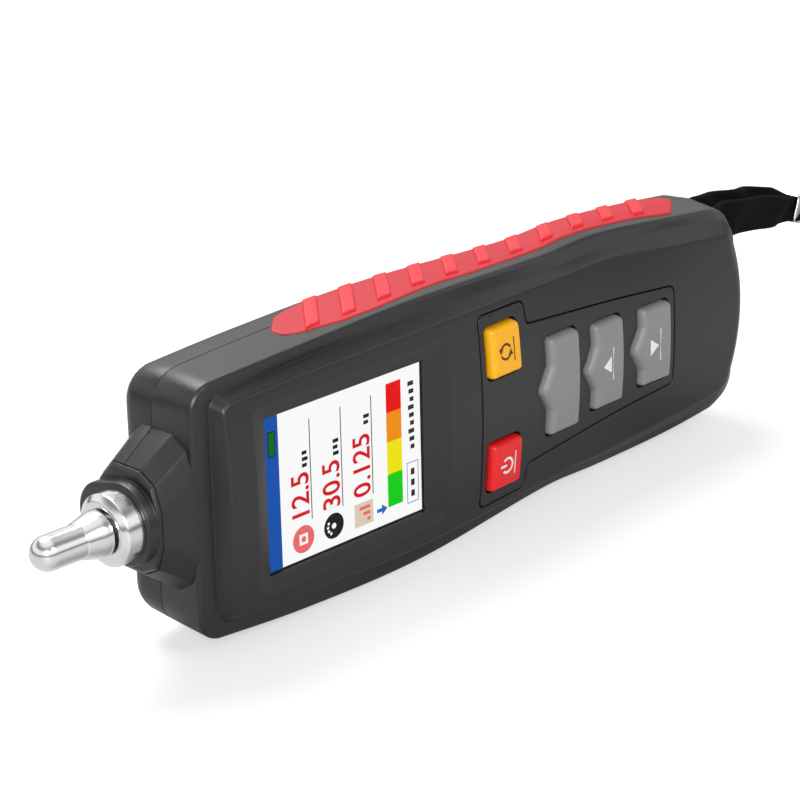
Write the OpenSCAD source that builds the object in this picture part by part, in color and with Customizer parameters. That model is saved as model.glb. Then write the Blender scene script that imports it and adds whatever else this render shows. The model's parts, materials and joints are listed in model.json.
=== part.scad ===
// Handheld vibration meter, lengths in millimetres.
// Inside the part X runs from the probe towards the strap, Y from the face to the back
// and Z across the width. place() then pitches the meter a little, so that it stands on
// the two swellings of its long side.

/* [Housing] */
// Length from the probe end wall to the strap end
body_l = 193; // [180:1:210]
// Depth from the top of the face to the flat back
body_depth = 29.8; // [28:0.2:33]
// Half width at the shoulders beside the probe
shoulder_half_w = 31.7; // [30.5:0.1:33]
// Half width at the belly beside the screen
belly_half_w = 32.6; // [31.5:0.1:34]
// Half width at the waist between the keys
waist_half_w = 30.4; // [29.5:0.1:31]
// Half width at the hip beside the last keys
hip_half_w = 30.8; // [30:0.1:32]
// Half width at the strap end, before its corners are rounded
tail_half_w = 26.3; // [25:0.1:28]
// Depth of the plane where the two shells meet
parting_y = 18; // [17:0.25:19]
// Wall of both shells
wall = 2; // [1.6:0.1:2.4]
// Corner radius of the outline at the parting plane
corner_r = 8; // [6:0.5:9]
// Corner radius of the outline at the rim of the face
rim_corner_r = 4; // [3:0.25:5]
// Radius that rounds the back into the sides
back_r = 5.5; // [4:0.25:7]

/* [Face] */
// Width of the flat rim at the probe end
end_rim_w = 5.2; // [4:0.1:6]
// How much the strap end bulges outwards
end_bulge = 3.2; // [1.5:0.1:4]
// Length of the screen recess at the face
window_l = 61.3; // [59:0.1:63]
// Width of the screen recess at the face
window_w = 44.6; // [43:0.1:46]
// Distance of the screen recess from the probe end wall
window_x = 14.1; // [13:0.1:16]
// Depth of the screen recess
window_depth = 2.2; // [1.8:0.1:2.4]

/* [Screen] */
// Length of the lit area
screen_l = 48.96; // [47:0.01:50]
// Width of the lit area
screen_w = 36.72; // [35:0.01:38]
// Thickness of the clear window
lens_t = 0.6; // [0.5:0.05:0.8]

/* [Keys] */
// How far the keys stand above the face
key_proud = 1.8; // [1.4:0.1:2.2]
// Travel of a key
key_travel = 0.9; // [0.6:0.1:1]
// Gap between a key and its opening
key_gap = 0.45; // [0.3:0.05:0.5]
// Length of a square key along the meter
square_key_l = 11; // [10:0.1:11.6]
// Width of a square key
square_key_w = 12.3; // [11:0.1:12.6]
// Length of a wide key along the meter, without its nose
wide_key_l = 11.1; // [10:0.1:11.6]
// Length of a wide key's nose
key_nose_l = 3.1; // [2.4:0.1:3.6]
// Half widths of the three wide keys, nearest the screen first
wide_key_halves = [12.5, 11.1, 10.2];

/* [Grips] */
// Depth of the soft grip inlay in the side wall
grip_depth = 1.2; // [0.8:0.1:1.4]
// How far the inlay stands out of the side wall
grip_proud = 0.3; // [0.1:0.05:0.5]
// Height of the ribs above the inlay
rib_h = 0.6; // [0.3:0.05:0.9]
// Width of a rib
rib_w = 3.4; // [2.6:0.1:4]
// Distance from one rib to the next
rib_pitch = 11.4; // [10.6:0.1:11.6]

/* [Sensor] */
// Depth of the sensor's axis below the top of the face
sensor_y = 15.5; // [15:0.25:16]
// Radius of the metal collar
collar_r = 8.3; // [7.6:0.1:8.8]
// Length of the collar
collar_l = 4.3; // [3.5:0.1:5]
// Radius of the cone where it leaves the collar
cone_r = 5.4; // [4.8:0.1:5.8]
// Radius of the probe's rod and of its round end
rod_r = 4; // [3.4:0.1:4.4]
// Length of the cone
cone_l = 6.1; // [5:0.1:7]
// Distance from the cone to the centre of the round end
rod_l = 7.9; // [6:0.1:10]

/* [Batteries] */
// Diameter of a battery cell
cell_d = 10.4; // [10.2:0.1:10.5]
// Length of a battery cell
cell_l = 44.4; // [44:0.1:44.6]
// Thickness of the battery cover
cover_t = 1.8; // [1.5:0.1:2]

/* [Strap] */
// Width of the strap's webbing
strap_w = 8; // [7:0.5:9]
// Thickness of the strap's webbing
strap_t = 1.8; // [1.4:0.1:2]

/* [Hidden] */

// One overrun serves all cuts, and one fine gap all parts that must not bind
over = 1;
fit_gap = 0.05;
run_gap = 0.15;
seam_gap = 0.1;
round_fn = 48;
$fn = round_fn;

// Smooth curve through a table of [place, value] rows
function slope_at(t, i) =
    i == 0 ? (t[1][1] - t[0][1]) / (t[1][0] - t[0][0])
    : i == len(t) - 1 ? (t[i][1] - t[i - 1][1]) / (t[i][0] - t[i - 1][0])
    : (t[i + 1][1] - t[i - 1][1]) / (t[i + 1][0] - t[i - 1][0]);
function span_of(t, x, i = 0) = i >= len(t) - 2 || x < t[i + 1][0] ? i : span_of(t, x, i + 1);
function hermite(t, x, i) =
    let(h = t[i + 1][0] - t[i][0], u = (x - t[i][0]) / h, u2 = u * u, u3 = u2 * u)
    t[i][1] * (2 * u3 - 3 * u2 + 1) + t[i + 1][1] * (3 * u2 - 2 * u3)
    + h * (slope_at(t, i) * (u3 - 2 * u2 + u) + slope_at(t, i + 1) * (u3 - u2));
function along(t, x) = hermite(t, x, span_of(t, x));
function lerp(a, b, t) = a + (b - a) * t;

function flat(list) = [for (a = list) for (b = a) b];

// The outline of the housing, as tables along its length
stations_shares = [0, 0.16, 0.36, 0.62, 0.72, 0.86, 1];
crease_depth_shares = [0.168, 0.141, 0.178, 0.315, 0.336, 0.282, 0.275];
foot_depth_shares = [0.168, 0.168, 0.174, 0.272, 0.282, 0.262, 0.205];
edge_depth_shares = [0.067, 0.055, 0.058, 0.18, 0.215, 0.17, 0.155];
crown_depth_shares = [0.012, 0, 0.008, 0.08, 0.11, 0.12, 0.148];
rim_shares = [1, 1, 1.03, 0.94, 0.91, 0.71, 0.69];
slope_shares = [0.8, 0.9, 1.1, 0.6, 1, 1.85, 2.1];
flare_shares = [0, 0.08, 0.15, 0.45, 0.6, 0.9, 1];
shoulder_share = 0.945;
rim_w = 3.5;
slope_w = 2.1;
flare_w = 1.2;
rump_drop = 1.8;
draft_w = 0.5;
crease_w = 0.7;
face_lip = 1.5;
end_slope = 4.6;
end_foot = 1.6;
face_corner_r = 2.4;
foot_corner_r = 3;
tail_corner_r = 9.5;
function row(values, size = 1) =
    [for (i = [0:len(values) - 1]) [stations_shares[i] * body_l, values[i] * size]];
half_table = row([shoulder_half_w * shoulder_share, shoulder_half_w, belly_half_w,
    waist_half_w, hip_half_w, hip_half_w - rump_drop, tail_half_w]);
crease_table = row(crease_depth_shares, body_depth);
foot_table = row(foot_depth_shares, body_depth);
edge_table = row(edge_depth_shares, body_depth);
crown_table = row(crown_depth_shares, body_depth);
rim_table = row(rim_shares, rim_w);
slope_table = row(slope_shares, slope_w);
flare_table = row(flare_shares, flare_w);
end_x = body_l - end_bulge;
fillet_y = body_depth - back_r;

function face_half(x) = along(half_table, x) - along(rim_table, x) - along(slope_table, x);
function crown_y(x, z) = lerp(along(crown_table, x), along(edge_table, x), pow(z / face_half(x), 2));
function rise(x, y) = min(1, (y - along(crease_table, x)) / (parting_y - along(crease_table, x)));
function side_half(x, y) = along(half_table, x) + along(flare_table, x) * rise(x, y)
    - draft_w * max(0, (y - parting_y) / (fillet_y - parting_y));
function fillet_in(y) =
    y > fillet_y ? back_r - sqrt(max(0, back_r * back_r - pow(y - fillet_y, 2))) : 0;

// A grid of points over a rounded outline: half(x) is its half width and depth(x, u) its
// depth, where u runs from -1 to 1 across. r0 and r1 round the ends, and the far one bulges.
corner_n = 5;
side_n = 16;
across_n = 8;
function bend_at(x, x1, r) = end_bulge * pow(max(0, 1 - (x1 - x) / (corner_n * r)), 2);
function stations(half, x0, x1, r0, r1) = concat(
    [for (j = [0:corner_n - 1]) let(a = 90 * j / corner_n)
        [x0 + r0 * (1 - cos(a)), half(x0 + r0) - r0 * (1 - sin(a))]],
    [for (j = [0:side_n]) let(x = lerp(x0 + r0, x1 - r1, j / side_n)) [x, half(x)]],
    [for (j = [1:corner_n]) let(a = 90 * j / corner_n)
        [x1 - r1 * (1 - sin(a)), half(x1 - r1) - r1 * (1 - cos(a))]]);
function grid(half, depth, x0, x1, r0, r1) =
    [for (s = stations(half, x0, x1, r0, r1)) [for (i = [0:across_n])
        let(u = 2 * i / across_n - 1, x = s[0] + bend_at(s[0], x1, r1) * (1 - u * u))
        [x, depth(s[0], u), s[1] * u]]];
function rim_of(g) = let(n = len(g) - 1, m = len(g[0]) - 1) concat(g[0],
    [for (j = [1:n]) g[j][m]], [for (i = [m - 1:-1:0]) g[n][i]], [for (j = [n - 1:-1:1]) g[j][0]]);
function rim_index(n, m, at) = concat([for (i = [0:m]) at + i],
    [for (j = [1:n]) at + j * (m + 1) + m], [for (i = [m - 1:-1:0]) at + n * (m + 1) + i],
    [for (j = [n - 1:-1:1]) at + j * (m + 1)]);
function cap_faces(n, m, at, turned) =
    [for (j = [0:n - 1]) for (i = [0:m - 1])
        let(a = at + j * (m + 1) + i, b = a + 1, c = b + m + 1, d = a + m + 1)
        for (f = [[a, b, c], [a, c, d]]) turned ? [f[0], f[2], f[1]] : f];
function band_faces(p, q) =
    [for (i = [0:len(p) - 1]) let(k = (i + 1) % len(p))
        for (f = [[p[i], q[i], q[k]], [p[i], q[k], p[k]]]) f];

// A closed solid from a front grid, over the rims of further grids, to a back grid
module grid_solid(front, rims, back) {
    n = len(front) - 1;
    m = len(front[0]) - 1;
    count = len(rim_of(front));
    size = (n + 1) * (m + 1);
    last = size + len(rims) * count;
    points = concat(flat(front), flat([for (g = rims) rim_of(g)]), flat(back));
    rings = concat([rim_index(n, m, 0)],
        [for (k = [0:1:len(rims) - 1]) [for (i = [0:count - 1]) size + k * count + i]],
        [rim_index(n, m, last)]);
    polyhedron(points, concat(cap_faces(n, m, 0, false), cap_faces(n, m, last, true),
        flat([for (k = [0:len(rings) - 2]) band_faces(rings[k], rings[k + 1])])), convexity = 6);
}

// A closed solid through rings of as many points each, with a flat cap at both ends
module ring_solid(rings) {
    n = len(rings[0]);
    last = (len(rings) - 1) * n;
    polyhedron(flat(rings), concat(
        [[for (i = [0:n - 1]) i]],
        [[for (i = [n - 1:-1:0]) last + i]],
        flat([for (k = [0:len(rings) - 2]) band_faces(
            [for (i = [0:n - 1]) k * n + i], [for (i = [0:n - 1]) (k + 1) * n + i])])), convexity = 4);
}

// Small shapes laid along the axes of the meter
module along_y(y0, y1) {
    translate([0, y1, 0]) rotate([90, 0, 0]) linear_extrude(y1 - y0) children();
}
module along_probe(x) {
    translate([x, sensor_y, 0]) rotate([0, -90, 0]) children();
}
module box(x0, x1, y0, y1, z0, z1) {
    translate([x0, y0, z0]) cube([x1 - x0, y1 - y0, z1 - z0]);
}
module slab(x0, x1, y0, y1, half) {
    box(x0, x1, y0, y1, -half, half);
}
module post(at, y0, y1, r) {
    translate([at[0], y0, at[1]]) rotate([-90, 0, 0]) cylinder(h = y1 - y0, r = r);
}
module both() {
    children();
    mirror([0, 0, 1]) children();
}

// The skins of the two shells
function face_grid(drop, in) = grid(
    function(x) face_half(x) - in,
    function(x, u) lerp(along(crown_table, x), along(edge_table, x), u * u) + drop,
    end_rim_w + face_lip + in, end_x - end_slope - in, face_corner_r, tail_corner_r - end_slope);
function foot_grid(drop, in) = grid(
    function(x) along(half_table, x) - along(rim_table, x) - in,
    function(x, u) along(foot_table, x) + drop,
    end_rim_w + in, end_x - end_foot - in, foot_corner_r, tail_corner_r - end_foot - in);
function crease_grid(drop, in) = grid(
    function(x) along(half_table, x) - in,
    function(x, u) along(crease_table, x) + drop,
    in, end_x - in, rim_corner_r - in, tail_corner_r - in);
function level_grid(y, in) = let(f = fillet_in(y) + in) grid(
    function(x) side_half(x, y) - f, function(x, u) y, f, end_x - f, corner_r - f, tail_corner_r - f);
module front_skin() {
    y = parting_y - seam_gap / 2;
    grid_solid(face_grid(0, 0),
        [foot_grid(0, 0), crease_grid(0, crease_w), crease_grid(crease_w, 0), level_grid(y, 0),
            level_grid(y, wall), crease_grid(wall, wall), foot_grid(wall, wall / 2)],
        face_grid(wall, wall / 2));
}
fillet_n = 5;
module rear_skin() {
    y = parting_y + seam_gap / 2;
    inner = fillet_y - wall;
    grid_solid(level_grid(body_depth - wall, wall),
        [level_grid(inner, wall), level_grid(y, wall), level_grid(y, 0), level_grid(fillet_y, 0),
            for (k = [1:fillet_n - 1]) level_grid(fillet_y + back_r * sin(90 * k / fillet_n), 0)],
        level_grid(body_depth, 0));
}

module rear_core(in) {
    grid_solid(level_grid(parting_y + wall, in), [for (k = [0:fillet_n - 1])
        level_grid(fillet_y + (back_r - in) * k / fillet_n, in)], level_grid(body_depth - in, in));
}

// The neck that carries the sensor, with its flat spine running out from the rim. Each
// station has its X, the half width of the spine and of the neck, and the spine's depth.
neck_l = 9.5;
neck_half = 18.4;
neck_end_half = 12.3;
plate_half = 11.2;
plate_l = 1.2;
spine_half = 9.5;
spine_end_half = 4.3;
spine_drop = 1.3;
neck_back_y = 25.6;
neck_chamfer = 4;
boss_l = 2.8;
boss_r = 9.6;
boss_low_r = 8;
boss_low_y = body_depth - boss_low_r - fit_gap;
neck_rows = [
    [wall / 2, spine_half, neck_half, 0],
    [0, spine_half, neck_half, 0],
    [-neck_l * 0.58, lerp(spine_half, spine_end_half, 0.9), lerp(neck_half, neck_end_half, 0.66), 0.6],
    [plate_l - neck_l, spine_end_half, neck_end_half, 0.9],
    [-neck_l, spine_end_half, plate_half, 1]];
spine_y = foot_depth_shares[0] * body_depth;
function neck_ring(s) = let(y = spine_y + spine_drop * s[3], h = s[2], c = neck_chamfer)
    [[s[0], y, -s[1]], [s[0], y, s[1]], [s[0], y + c / 2, lerp(s[1], h, 0.7)],
    [s[0], y + 1.6 * c, h], [s[0], neck_back_y - c, h], [s[0], neck_back_y, h - c],
    [s[0], neck_back_y, c - h], [s[0], neck_back_y - c, -h], [s[0], y + 1.6 * c, -h],
    [s[0], y + c / 2, -lerp(s[1], h, 0.7)]];
module neck_solid() {
    ring_solid([for (s = neck_rows) neck_ring(s)]);
    hull() {
        along_probe(fit_gap - neck_l) cylinder(h = boss_l - fit_gap, r = boss_r);
        translate([fit_gap - neck_l, boss_low_y, 0]) rotate([0, -90, 0])
            cylinder(h = boss_l - fit_gap, r = boss_low_r);
    }
}

// The sensor's body sits in the neck, held by its collar outside and its flange inside
boss_end = neck_l + boss_l;
collar_end = boss_end + collar_l;
collar_bevel = 1.2;
collar_face = collar_end + collar_bevel;
collar_face_r = 6.5;
housing_r = 7.5;
flange_r = 8.3;
flange_l = 2;
flange_gap = 0.35;
housing_in = 6;
stack_r = 6;
stud_r = 2.5;
stud_l = 8;
web_h = 6;
bolt_r = 1.25;
bolt_l = 2.6;
seal_at = 5;
seal_w = 1.7;
seal_in_r = 6.6;

// Screen window, screen module and board
window_x1 = window_x + window_l;
window_slope_in = 4.5;
mask_w = 0.42;
window_lip = 0.3;
gasket_t = 0.2;
opening_x0 = window_x + window_slope_in;
opening_x1 = opening_x0 + screen_l + 2 * mask_w;
opening_half = screen_w / 2 + mask_w;
lens_y = window_depth + window_lip;
lcd_y = lens_y + lens_t + gasket_t;
lens_over = 1.2;
lcd_t = 2.2;
lcd_edge = 2.2;
lcd_foot = 8;
lcd_x0 = opening_x0 - lcd_edge;
lcd_x1 = opening_x1 + lcd_foot;
lcd_half = opening_half + lcd_edge;
pcb_y = 9;
pcb_t = 1.6;
pcb_x0 = 15.8;
pcb_x1 = 166;
pcb_half = 22.3;
pcb_hole_r = 1.3;
pcb_screws_at = [[0.43 * body_l, 0.645 * shoulder_half_w], [0.838 * body_l, 0.53 * shoulder_half_w]];
pcb_boss_r = 2.6;
pcb_screw_r = 1;
pcb_head_r = 2;
pcb_head_l = 1.2;
pcb_bite = 1.6;

// Keys: front X of the straight part, length, middle Z, half width, nose length and nose half width
key_x_shares = [0.4622, 0.4622, 0.5751, 0.6653, 0.7617];
square_key_z = 14.45;
nose_half = 5.6;
key_names = ["enter", "power", "measure", "up", "down"];
keys = [
    [key_x_shares[0] * body_l, square_key_l, square_key_z, square_key_w / 2, 0, square_key_w / 4],
    [key_x_shares[1] * body_l, square_key_l, -square_key_z, square_key_w / 2, 0, square_key_w / 4],
    [key_x_shares[2] * body_l, wide_key_l, 0, wide_key_halves[0], key_nose_l, nose_half],
    [key_x_shares[3] * body_l, wide_key_l, 0, wide_key_halves[1], key_nose_l, nose_half],
    [key_x_shares[4] * body_l, wide_key_l, 0, wide_key_halves[2], key_nose_l, nose_half]];
key_bevel = 1.4;
key_edge = 0.8;
key_flange = 0.9;
panel_t = 1.4;
panel_gap = 0.35;
function key_end(k) = k[0] + k[1];
function key_outline(k, g) = [[k[0] - g, k[2] - k[3] - g], [key_end(k) + g, k[2] - k[3] - g],
    [key_end(k) + g, k[2] + k[3] + g], [k[0] - g, k[2] + k[3] + g],
    [k[0] - g, k[2] + k[5] + g / 2], [k[0] - k[4] - g, k[2]], [k[0] - g, k[2] - k[5] - g / 2]];
function flange_y(x, z) = crown_y(x, z) + wall + run_gap;
function key_base(k) = key_flange + max([for (x = [k[0] - k[4], key_end(k)]) for (s = [-1, 1])
    flange_y(x, k[2] + s * k[3])]);
function key_front(k, z) = k[0] - k[4] * max(0, 1 - abs(z - k[2]) / k[5]);
function key_section(k, z, in, drop) =
    let(x0 = key_front(k, z) + in, x1 = key_end(k) - in, b = key_base(k), f = key_flange)
    [[x0, crown_y(x0, z) - key_proud + key_edge + drop, z],
    [x0 + key_bevel, crown_y(x0 + key_bevel, z) - key_proud + drop, z],
    [x1 - key_edge, crown_y(x1, z) - key_proud + drop, z],
    [x1, crown_y(x1, z) - key_proud + key_edge + drop, z],
    [x1, flange_y(x1, z), z], [x1 + f, flange_y(x1 + f, z), z], [x1 + f, b, z],
    [x0 - f, b, z], [x0 - f, flange_y(x0 - f, z), z], [x0, flange_y(x0, z), z]];
key_places_shares = [1, 1 / 3, 0];
function key_rings(k) = let(e = key_edge, t = key_places_shares) [for (p = concat(
        [for (q = t) [k[3] * -1 + (1 - q) * e, q * e]], [for (q = [-1, -0.5, 0, 0.5, 1]) [q * k[5], 0]],
        [for (i = [2:-1:0]) [k[3] - (1 - t[i]) * e, t[i] * e]]))
    key_section(k, k[2] + p[0], p[1], p[1])];
module key_cap(k) {
    ring_solid(key_rings(k));
}
pill_r = 3;
pill_end = pcb_y - key_travel - fit_gap;
membrane_t = 0.6;
module pill(k) {
    color([0.1, 0.1, 0.1])
        post([k[0] + k[1] / 2, k[2]], key_base(k) + fit_gap / 2, pill_end, pill_r);
}

// Outline of the keypad panel round its keys
panel_x0 = keys[0][0] - 2.4 * key_edge - panel_gap;
panel_border = 2.7;
panel_ear = 3.5;
panel_notch = 5.3;
panel_ear_x = key_end(keys[0]) + panel_ear;
panel_x1 = key_end(keys[4]) + panel_border;
panel_half = square_key_z + square_key_w / 2 + panel_ear;
panel_notch_half = wide_key_halves[0] + panel_notch;
panel_end_half = wide_key_halves[2] + panel_border;
panel_corner_r = 1.6;
module panel_plan(grow) {
    offset(delta = grow) offset(r = -panel_corner_r, $fn = 24) offset(delta = panel_corner_r)
        offset(r = panel_corner_r, $fn = 24) offset(delta = -panel_corner_r)
            polygon([[panel_x0, -panel_half], [panel_ear_x, panel_gap - panel_half],
                [panel_ear_x + panel_gap, -panel_notch_half], [panel_x1, -panel_end_half],
                [panel_x1, panel_end_half], [panel_ear_x + panel_gap, panel_notch_half],
                [panel_ear_x, panel_half - panel_gap], [panel_x0, panel_half]]);
}
module crown_slab(y0, y1) {
    x0 = panel_x0 - 2 * panel_corner_r;
    x1 = panel_x1 + 2 * panel_corner_r;
    half = panel_half + panel_corner_r / 2;
    function layer(drop) = [for (j = [0:12]) [for (i = [0:across_n])
        let(x = lerp(x0, x1, j / 12), z = half * (2 * i / across_n - 1)) [x, crown_y(x, z) + drop, z]]];
    grid_solid(layer(y0), [], layer(y1));
}

// Soft grip on each long side: outline as shares of the length and of the depth
grip_front_shares = [[0.1746, 0.43], [0.178, 0.383], [0.192, 0.329], [0.22, 0.299], [0.252, 0.252],
    [0.311, 0.252], [0.349, 0.279], [0.389, 0.315], [0.428, 0.342], [0.482, 0.352], [0.544, 0.396],
    [0.625, 0.44], [0.669, 0.472], [0.741, 0.448], [0.816, 0.413], [0.847, 0.37], [0.868, 0.352],
    [0.891, 0.46], [0.917, 0.611], [0.919, 0.63]];
grip_back_shares = [[0.1746, 0.523], [0.18, 0.567], [0.209, 0.742], [0.238, 0.803], [0.269, 0.83],
    [0.35, 0.845], [0.518, 0.85], [0.777, 0.85], [0.881, 0.83], [0.913, 0.768], [0.919, 0.68]];
function scaled(t) = [for (p = t) [p[0] * body_l, p[1] * body_depth]];
grip_front = scaled(grip_front_shares);
grip_back = scaled(grip_back_shares);
grip_cols = 5;
function grip_grid(out, grow) =
    [for (p = grip_front) let(y0 = p[1] - grow, y1 = along(grip_back, p[0]) + grow)
        [for (i = [0:grip_cols]) let(y = lerp(y0, y1, i / grip_cols))
            [p[0], y, side_half(p[0], y) - fillet_in(y) + out]]];
module grip_body(out, in, grow) {
    grid_solid(grip_grid(out, grow), [], grip_grid(-in, grow));
}
rib_n = 11;
rib_lean = 0.88;
rib_first_x = 43;
rib_ref_y = 12;
rib_start = 1.9;
rib_end_y = 24;
rib_root = 0.3;
rib_bevel = 0.5;
stand_cut = 0.12;
function crest(x) = along(half_table, x) + along(flare_table, x) + grip_proud + rib_h;
belly_x = stations_shares[2] * body_l;
hip_x = stations_shares[4] * body_l;
stand_tan = (crest(belly_x) - crest(hip_x)) / (hip_x - belly_x);
function stand(x) = crest(belly_x) - stand_cut - stand_tan * (x - belly_x);
function rib_section(x, y) = let(w = rib_w * sqrt(1 + rib_lean * rib_lean) / 2, b = rib_bevel,
        low = side_half(x, y) - fillet_in(y) - rib_root,
        a = min(crest(x + b - w), stand(x + b - w)), c = min(crest(x + w - b), stand(x + w - b)))
    [[x - w, y, low], [x - w, y, a - b], [x + b - w, y, a], [x + w - b, y, c], [x + w, y, c - b],
    [x + w, y, low]];
module ribs() {
    for (k = [0:rib_n - 1]) {
        x = rib_first_x + k * rib_pitch;
        y0 = along(grip_front, x + rib_w) + rib_start;
        ring_solid([for (y = [y0, lerp(y0, rib_end_y, 1 / 3), lerp(y0, rib_end_y, 2 / 3), rib_end_y])
            rib_section(x + rib_lean * (y - rib_ref_y), y)]);
    }
}
module grip() {
    color([0.85, 0.29, 0.33]) {
        grip_body(grip_proud, grip_depth, 0);
        ribs();
    }
}

// Battery bay, cover, cells and contacts
spring_l = 3;
plate_t = 0.4;
bay_x0 = 118;
bay_l = cell_l + spring_l + 2 * plate_t + 2 * run_gap;
bay_x1 = bay_x0 + bay_l;
cell_gap = 0.6;
cell_pitch = cell_d + cell_gap;
bay_half = cell_pitch + (cell_d + cell_gap) / 2;
bay_y = 16.8;
tray_t = 1.4;
tray_half = bay_half + wall;
cover_y = body_depth - cover_t;
cell_y = cover_y - (cell_d + 2 * cell_gap) / 2;
ledge_w = 2.7;
ledge_side = 1.4;
ledge_t = 1.4;
cover_x0 = bay_x0 - ledge_w;
cover_x1 = bay_x1 + ledge_w;
cover_half = bay_half + ledge_side;
tab_z = 8;
tab_w = 4;
tab_l = 1.6;
tab_t = 1;
latch_half = 5;
latch_l = 0.8;
latch_deep = 1.8;
case_screws_at = [[11.5, 22.3], [176, 19]];
case_boss_y = [2.9, 6.3];
boss_out_r = 3.2;
case_hole_r = 1.3;
case_clear_r = 1.6;
head_hole_r = 3;
head_r = 2.8;
head_l = 2;
head_deep = 2.8;
head_y = body_depth - head_deep;
screw_r = 1.25;
screw_l = 16;
boss_bite_l = 10.5;
rear_post_r = 4.1;

// Strap slots at the far end, near its upper corner
slot_z0 = 12.6;
slot_z1 = 21.6;
slot_y0 = 21.9;
slot_y1 = 25.4;
slot_x0 = 179.8;
slot_x1 = 183.7;

module front_shell() {
    color([0.27, 0.27, 0.28]) difference() {
        union() {
            front_skin();
            intersection() {
                neck_solid();
                box(-collar_end, wall, 0, parting_y - seam_gap / 2, -body_l, body_l);
            }
            slab(window_x - wall, lcd_x1 + wall, window_depth, lcd_y + lcd_t / 2, lcd_half + wall);
            for (p = pcb_screws_at, s = [-1, 1])
                post([p[0], s * p[1]], crown_y(p[0], p[1]) + wall / 2, pcb_y - fit_gap, pcb_boss_r);
            for (i = [0, 1], s = [-1, 1])
                post([case_screws_at[i][0], s * case_screws_at[i][1]], case_boss_y[i],
                    parting_y - seam_gap / 2, boss_out_r);
        }
        window_cut();
        slab(opening_x0 - lens_over - fit_gap, opening_x1 + lens_over + fit_gap, lens_y, pcb_y,
            opening_half + lens_over + fit_gap);
        slab(lcd_x0 - run_gap, lcd_x1 + run_gap, lcd_y - gasket_t, pcb_y, lcd_half + run_gap);
        intersection() {
            crown_slab(-over - key_proud, panel_t + fit_gap);
            along_y(-over - key_proud, pcb_y) panel_plan(panel_gap);
        }
        for (k = keys) along_y(0, pcb_y) polygon(key_outline(k, key_gap + run_gap));
        both() grip_body(grip_proud + over, grip_depth + fit_gap, fit_gap);
        along_probe(wall + over) cylinder(h = collar_end, r = housing_r + fit_gap);
        for (p = pcb_screws_at, s = [-1, 1])
            post([p[0], s * p[1]], pcb_y - pcb_bite - over, pcb_y + over, pcb_screw_r + fit_gap);
        for (p = case_screws_at, s = [-1, 1])
            post([p[0], s * p[1]], parting_y - boss_bite_l, parting_y + over, case_hole_r);
    }
}
module window_cut() {
    function sheet(x0, x1, h, y) = [for (j = [0:across_n]) [for (i = [0:across_n])
        let(x = lerp(x0, x1, j / across_n), z = h * (2 * i / across_n - 1)) [x, y(x, z), z]]];
    grid_solid(sheet(window_x, window_x1, window_w / 2, function(x, z) -over),
        [sheet(window_x, window_x1, window_w / 2, function(x, z) crown_y(x, z)),
            sheet(opening_x0, opening_x1, opening_half, function(x, z) window_depth)],
        sheet(opening_x0, opening_x1, opening_half, function(x, z) pcb_y));
}
module rear_shell() {
    color([0.25, 0.25, 0.26]) difference() {
        union() {
            rear_skin();
            intersection() {
                neck_solid();
                box(-collar_end, wall, parting_y + seam_gap / 2, body_depth + over, -body_l, body_l);
            }
            slab(bay_x0 - tray_t, bay_x1 + tray_t, bay_y - tray_t, cover_y, tray_half);
            slab(cover_x0 - wall, cover_x1 + wall, cover_y - ledge_t, cover_y + wall / 2,
                cover_half + wall);
            for (p = case_screws_at, s = [-1, 1])
                post([p[0], s * p[1]], parting_y + seam_gap / 2, body_depth - wall / 2, rear_post_r);
            intersection() {
                rear_core(wall / 2);
                box(slot_x0 - wall, body_l, slot_y0 - wall, body_depth, slot_z0 - wall, slot_z1 + wall);
            }
        }
        slab(bay_x0, bay_x1, bay_y, body_depth + over, bay_half);
        slab(cover_x0 - run_gap, cover_x1 + run_gap, cover_y, body_depth + over, cover_half + run_gap);
        both() box(cover_x0 - tab_l - run_gap, bay_x0 + fit_gap, cover_y - 1.6 * tab_t, cover_y + fit_gap,
            tab_z - run_gap, tab_z + tab_w + run_gap);
        slab(cover_x1 - latch_l - 2 * run_gap, cover_x1 + 2 * run_gap, cover_y - latch_deep - run_gap,
            body_depth + over, latch_half + run_gap);
        for (z = [-cell_pitch, cell_pitch]) tail_slit(z);
        both() grip_body(grip_proud + over, grip_depth + fit_gap, fit_gap);
        along_probe(wall + over) cylinder(h = collar_end, r = housing_r + fit_gap);
        for (p = case_screws_at, s = [-1, 1]) {
            post([p[0], s * p[1]], parting_y - over, head_y + fit_gap, case_clear_r);
            post([p[0], s * p[1]], head_y, body_depth + over, head_hole_r);
        }
        box(slot_x0, body_l + over, slot_y0, slot_y1, slot_z0, slot_z1);
        box(slot_x0, slot_x1, slot_y0, body_depth + over, slot_z0, slot_z1);
    }
}
tail_w = 2;
function tail_x(z) = z < 0 ? bay_x0 : bay_x1 - plate_t;
module tail_slit(z) {
    box(tail_x(z) - fit_gap, tail_x(z) + plate_t + fit_gap, bay_y - tray_t - over, bay_y + fit_gap,
        z - tail_w / 2 - run_gap, z + tail_w / 2 + run_gap);
}
module grip_upper() { grip(); }
module grip_lower() { mirror([0, 0, 1]) grip(); }
module keypad_panel() {
    color([0.24, 0.24, 0.25]) difference() {
        intersection() {
            crown_slab(0, panel_t);
            along_y(-over, pcb_y) panel_plan(0);
        }
        for (k = keys) along_y(-over, pcb_y) polygon(key_outline(k, key_gap));
    }
}
module key_enter() { color([0.98, 0.65, 0.12]) key_cap(keys[0]); }
module key_power() { color([0.86, 0.12, 0.14]) key_cap(keys[1]); }
module key_measure() { color([0.48, 0.48, 0.48]) key_cap(keys[2]); }
module key_up() { color([0.48, 0.48, 0.48]) key_cap(keys[3]); }
module key_down() { color([0.48, 0.48, 0.48]) key_cap(keys[4]); }
module pill_enter() { pill(keys[0]); }
module pill_power() { pill(keys[1]); }
module pill_measure() { pill(keys[2]); }
module pill_up() { pill(keys[3]); }
module pill_down() { pill(keys[4]); }
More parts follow.
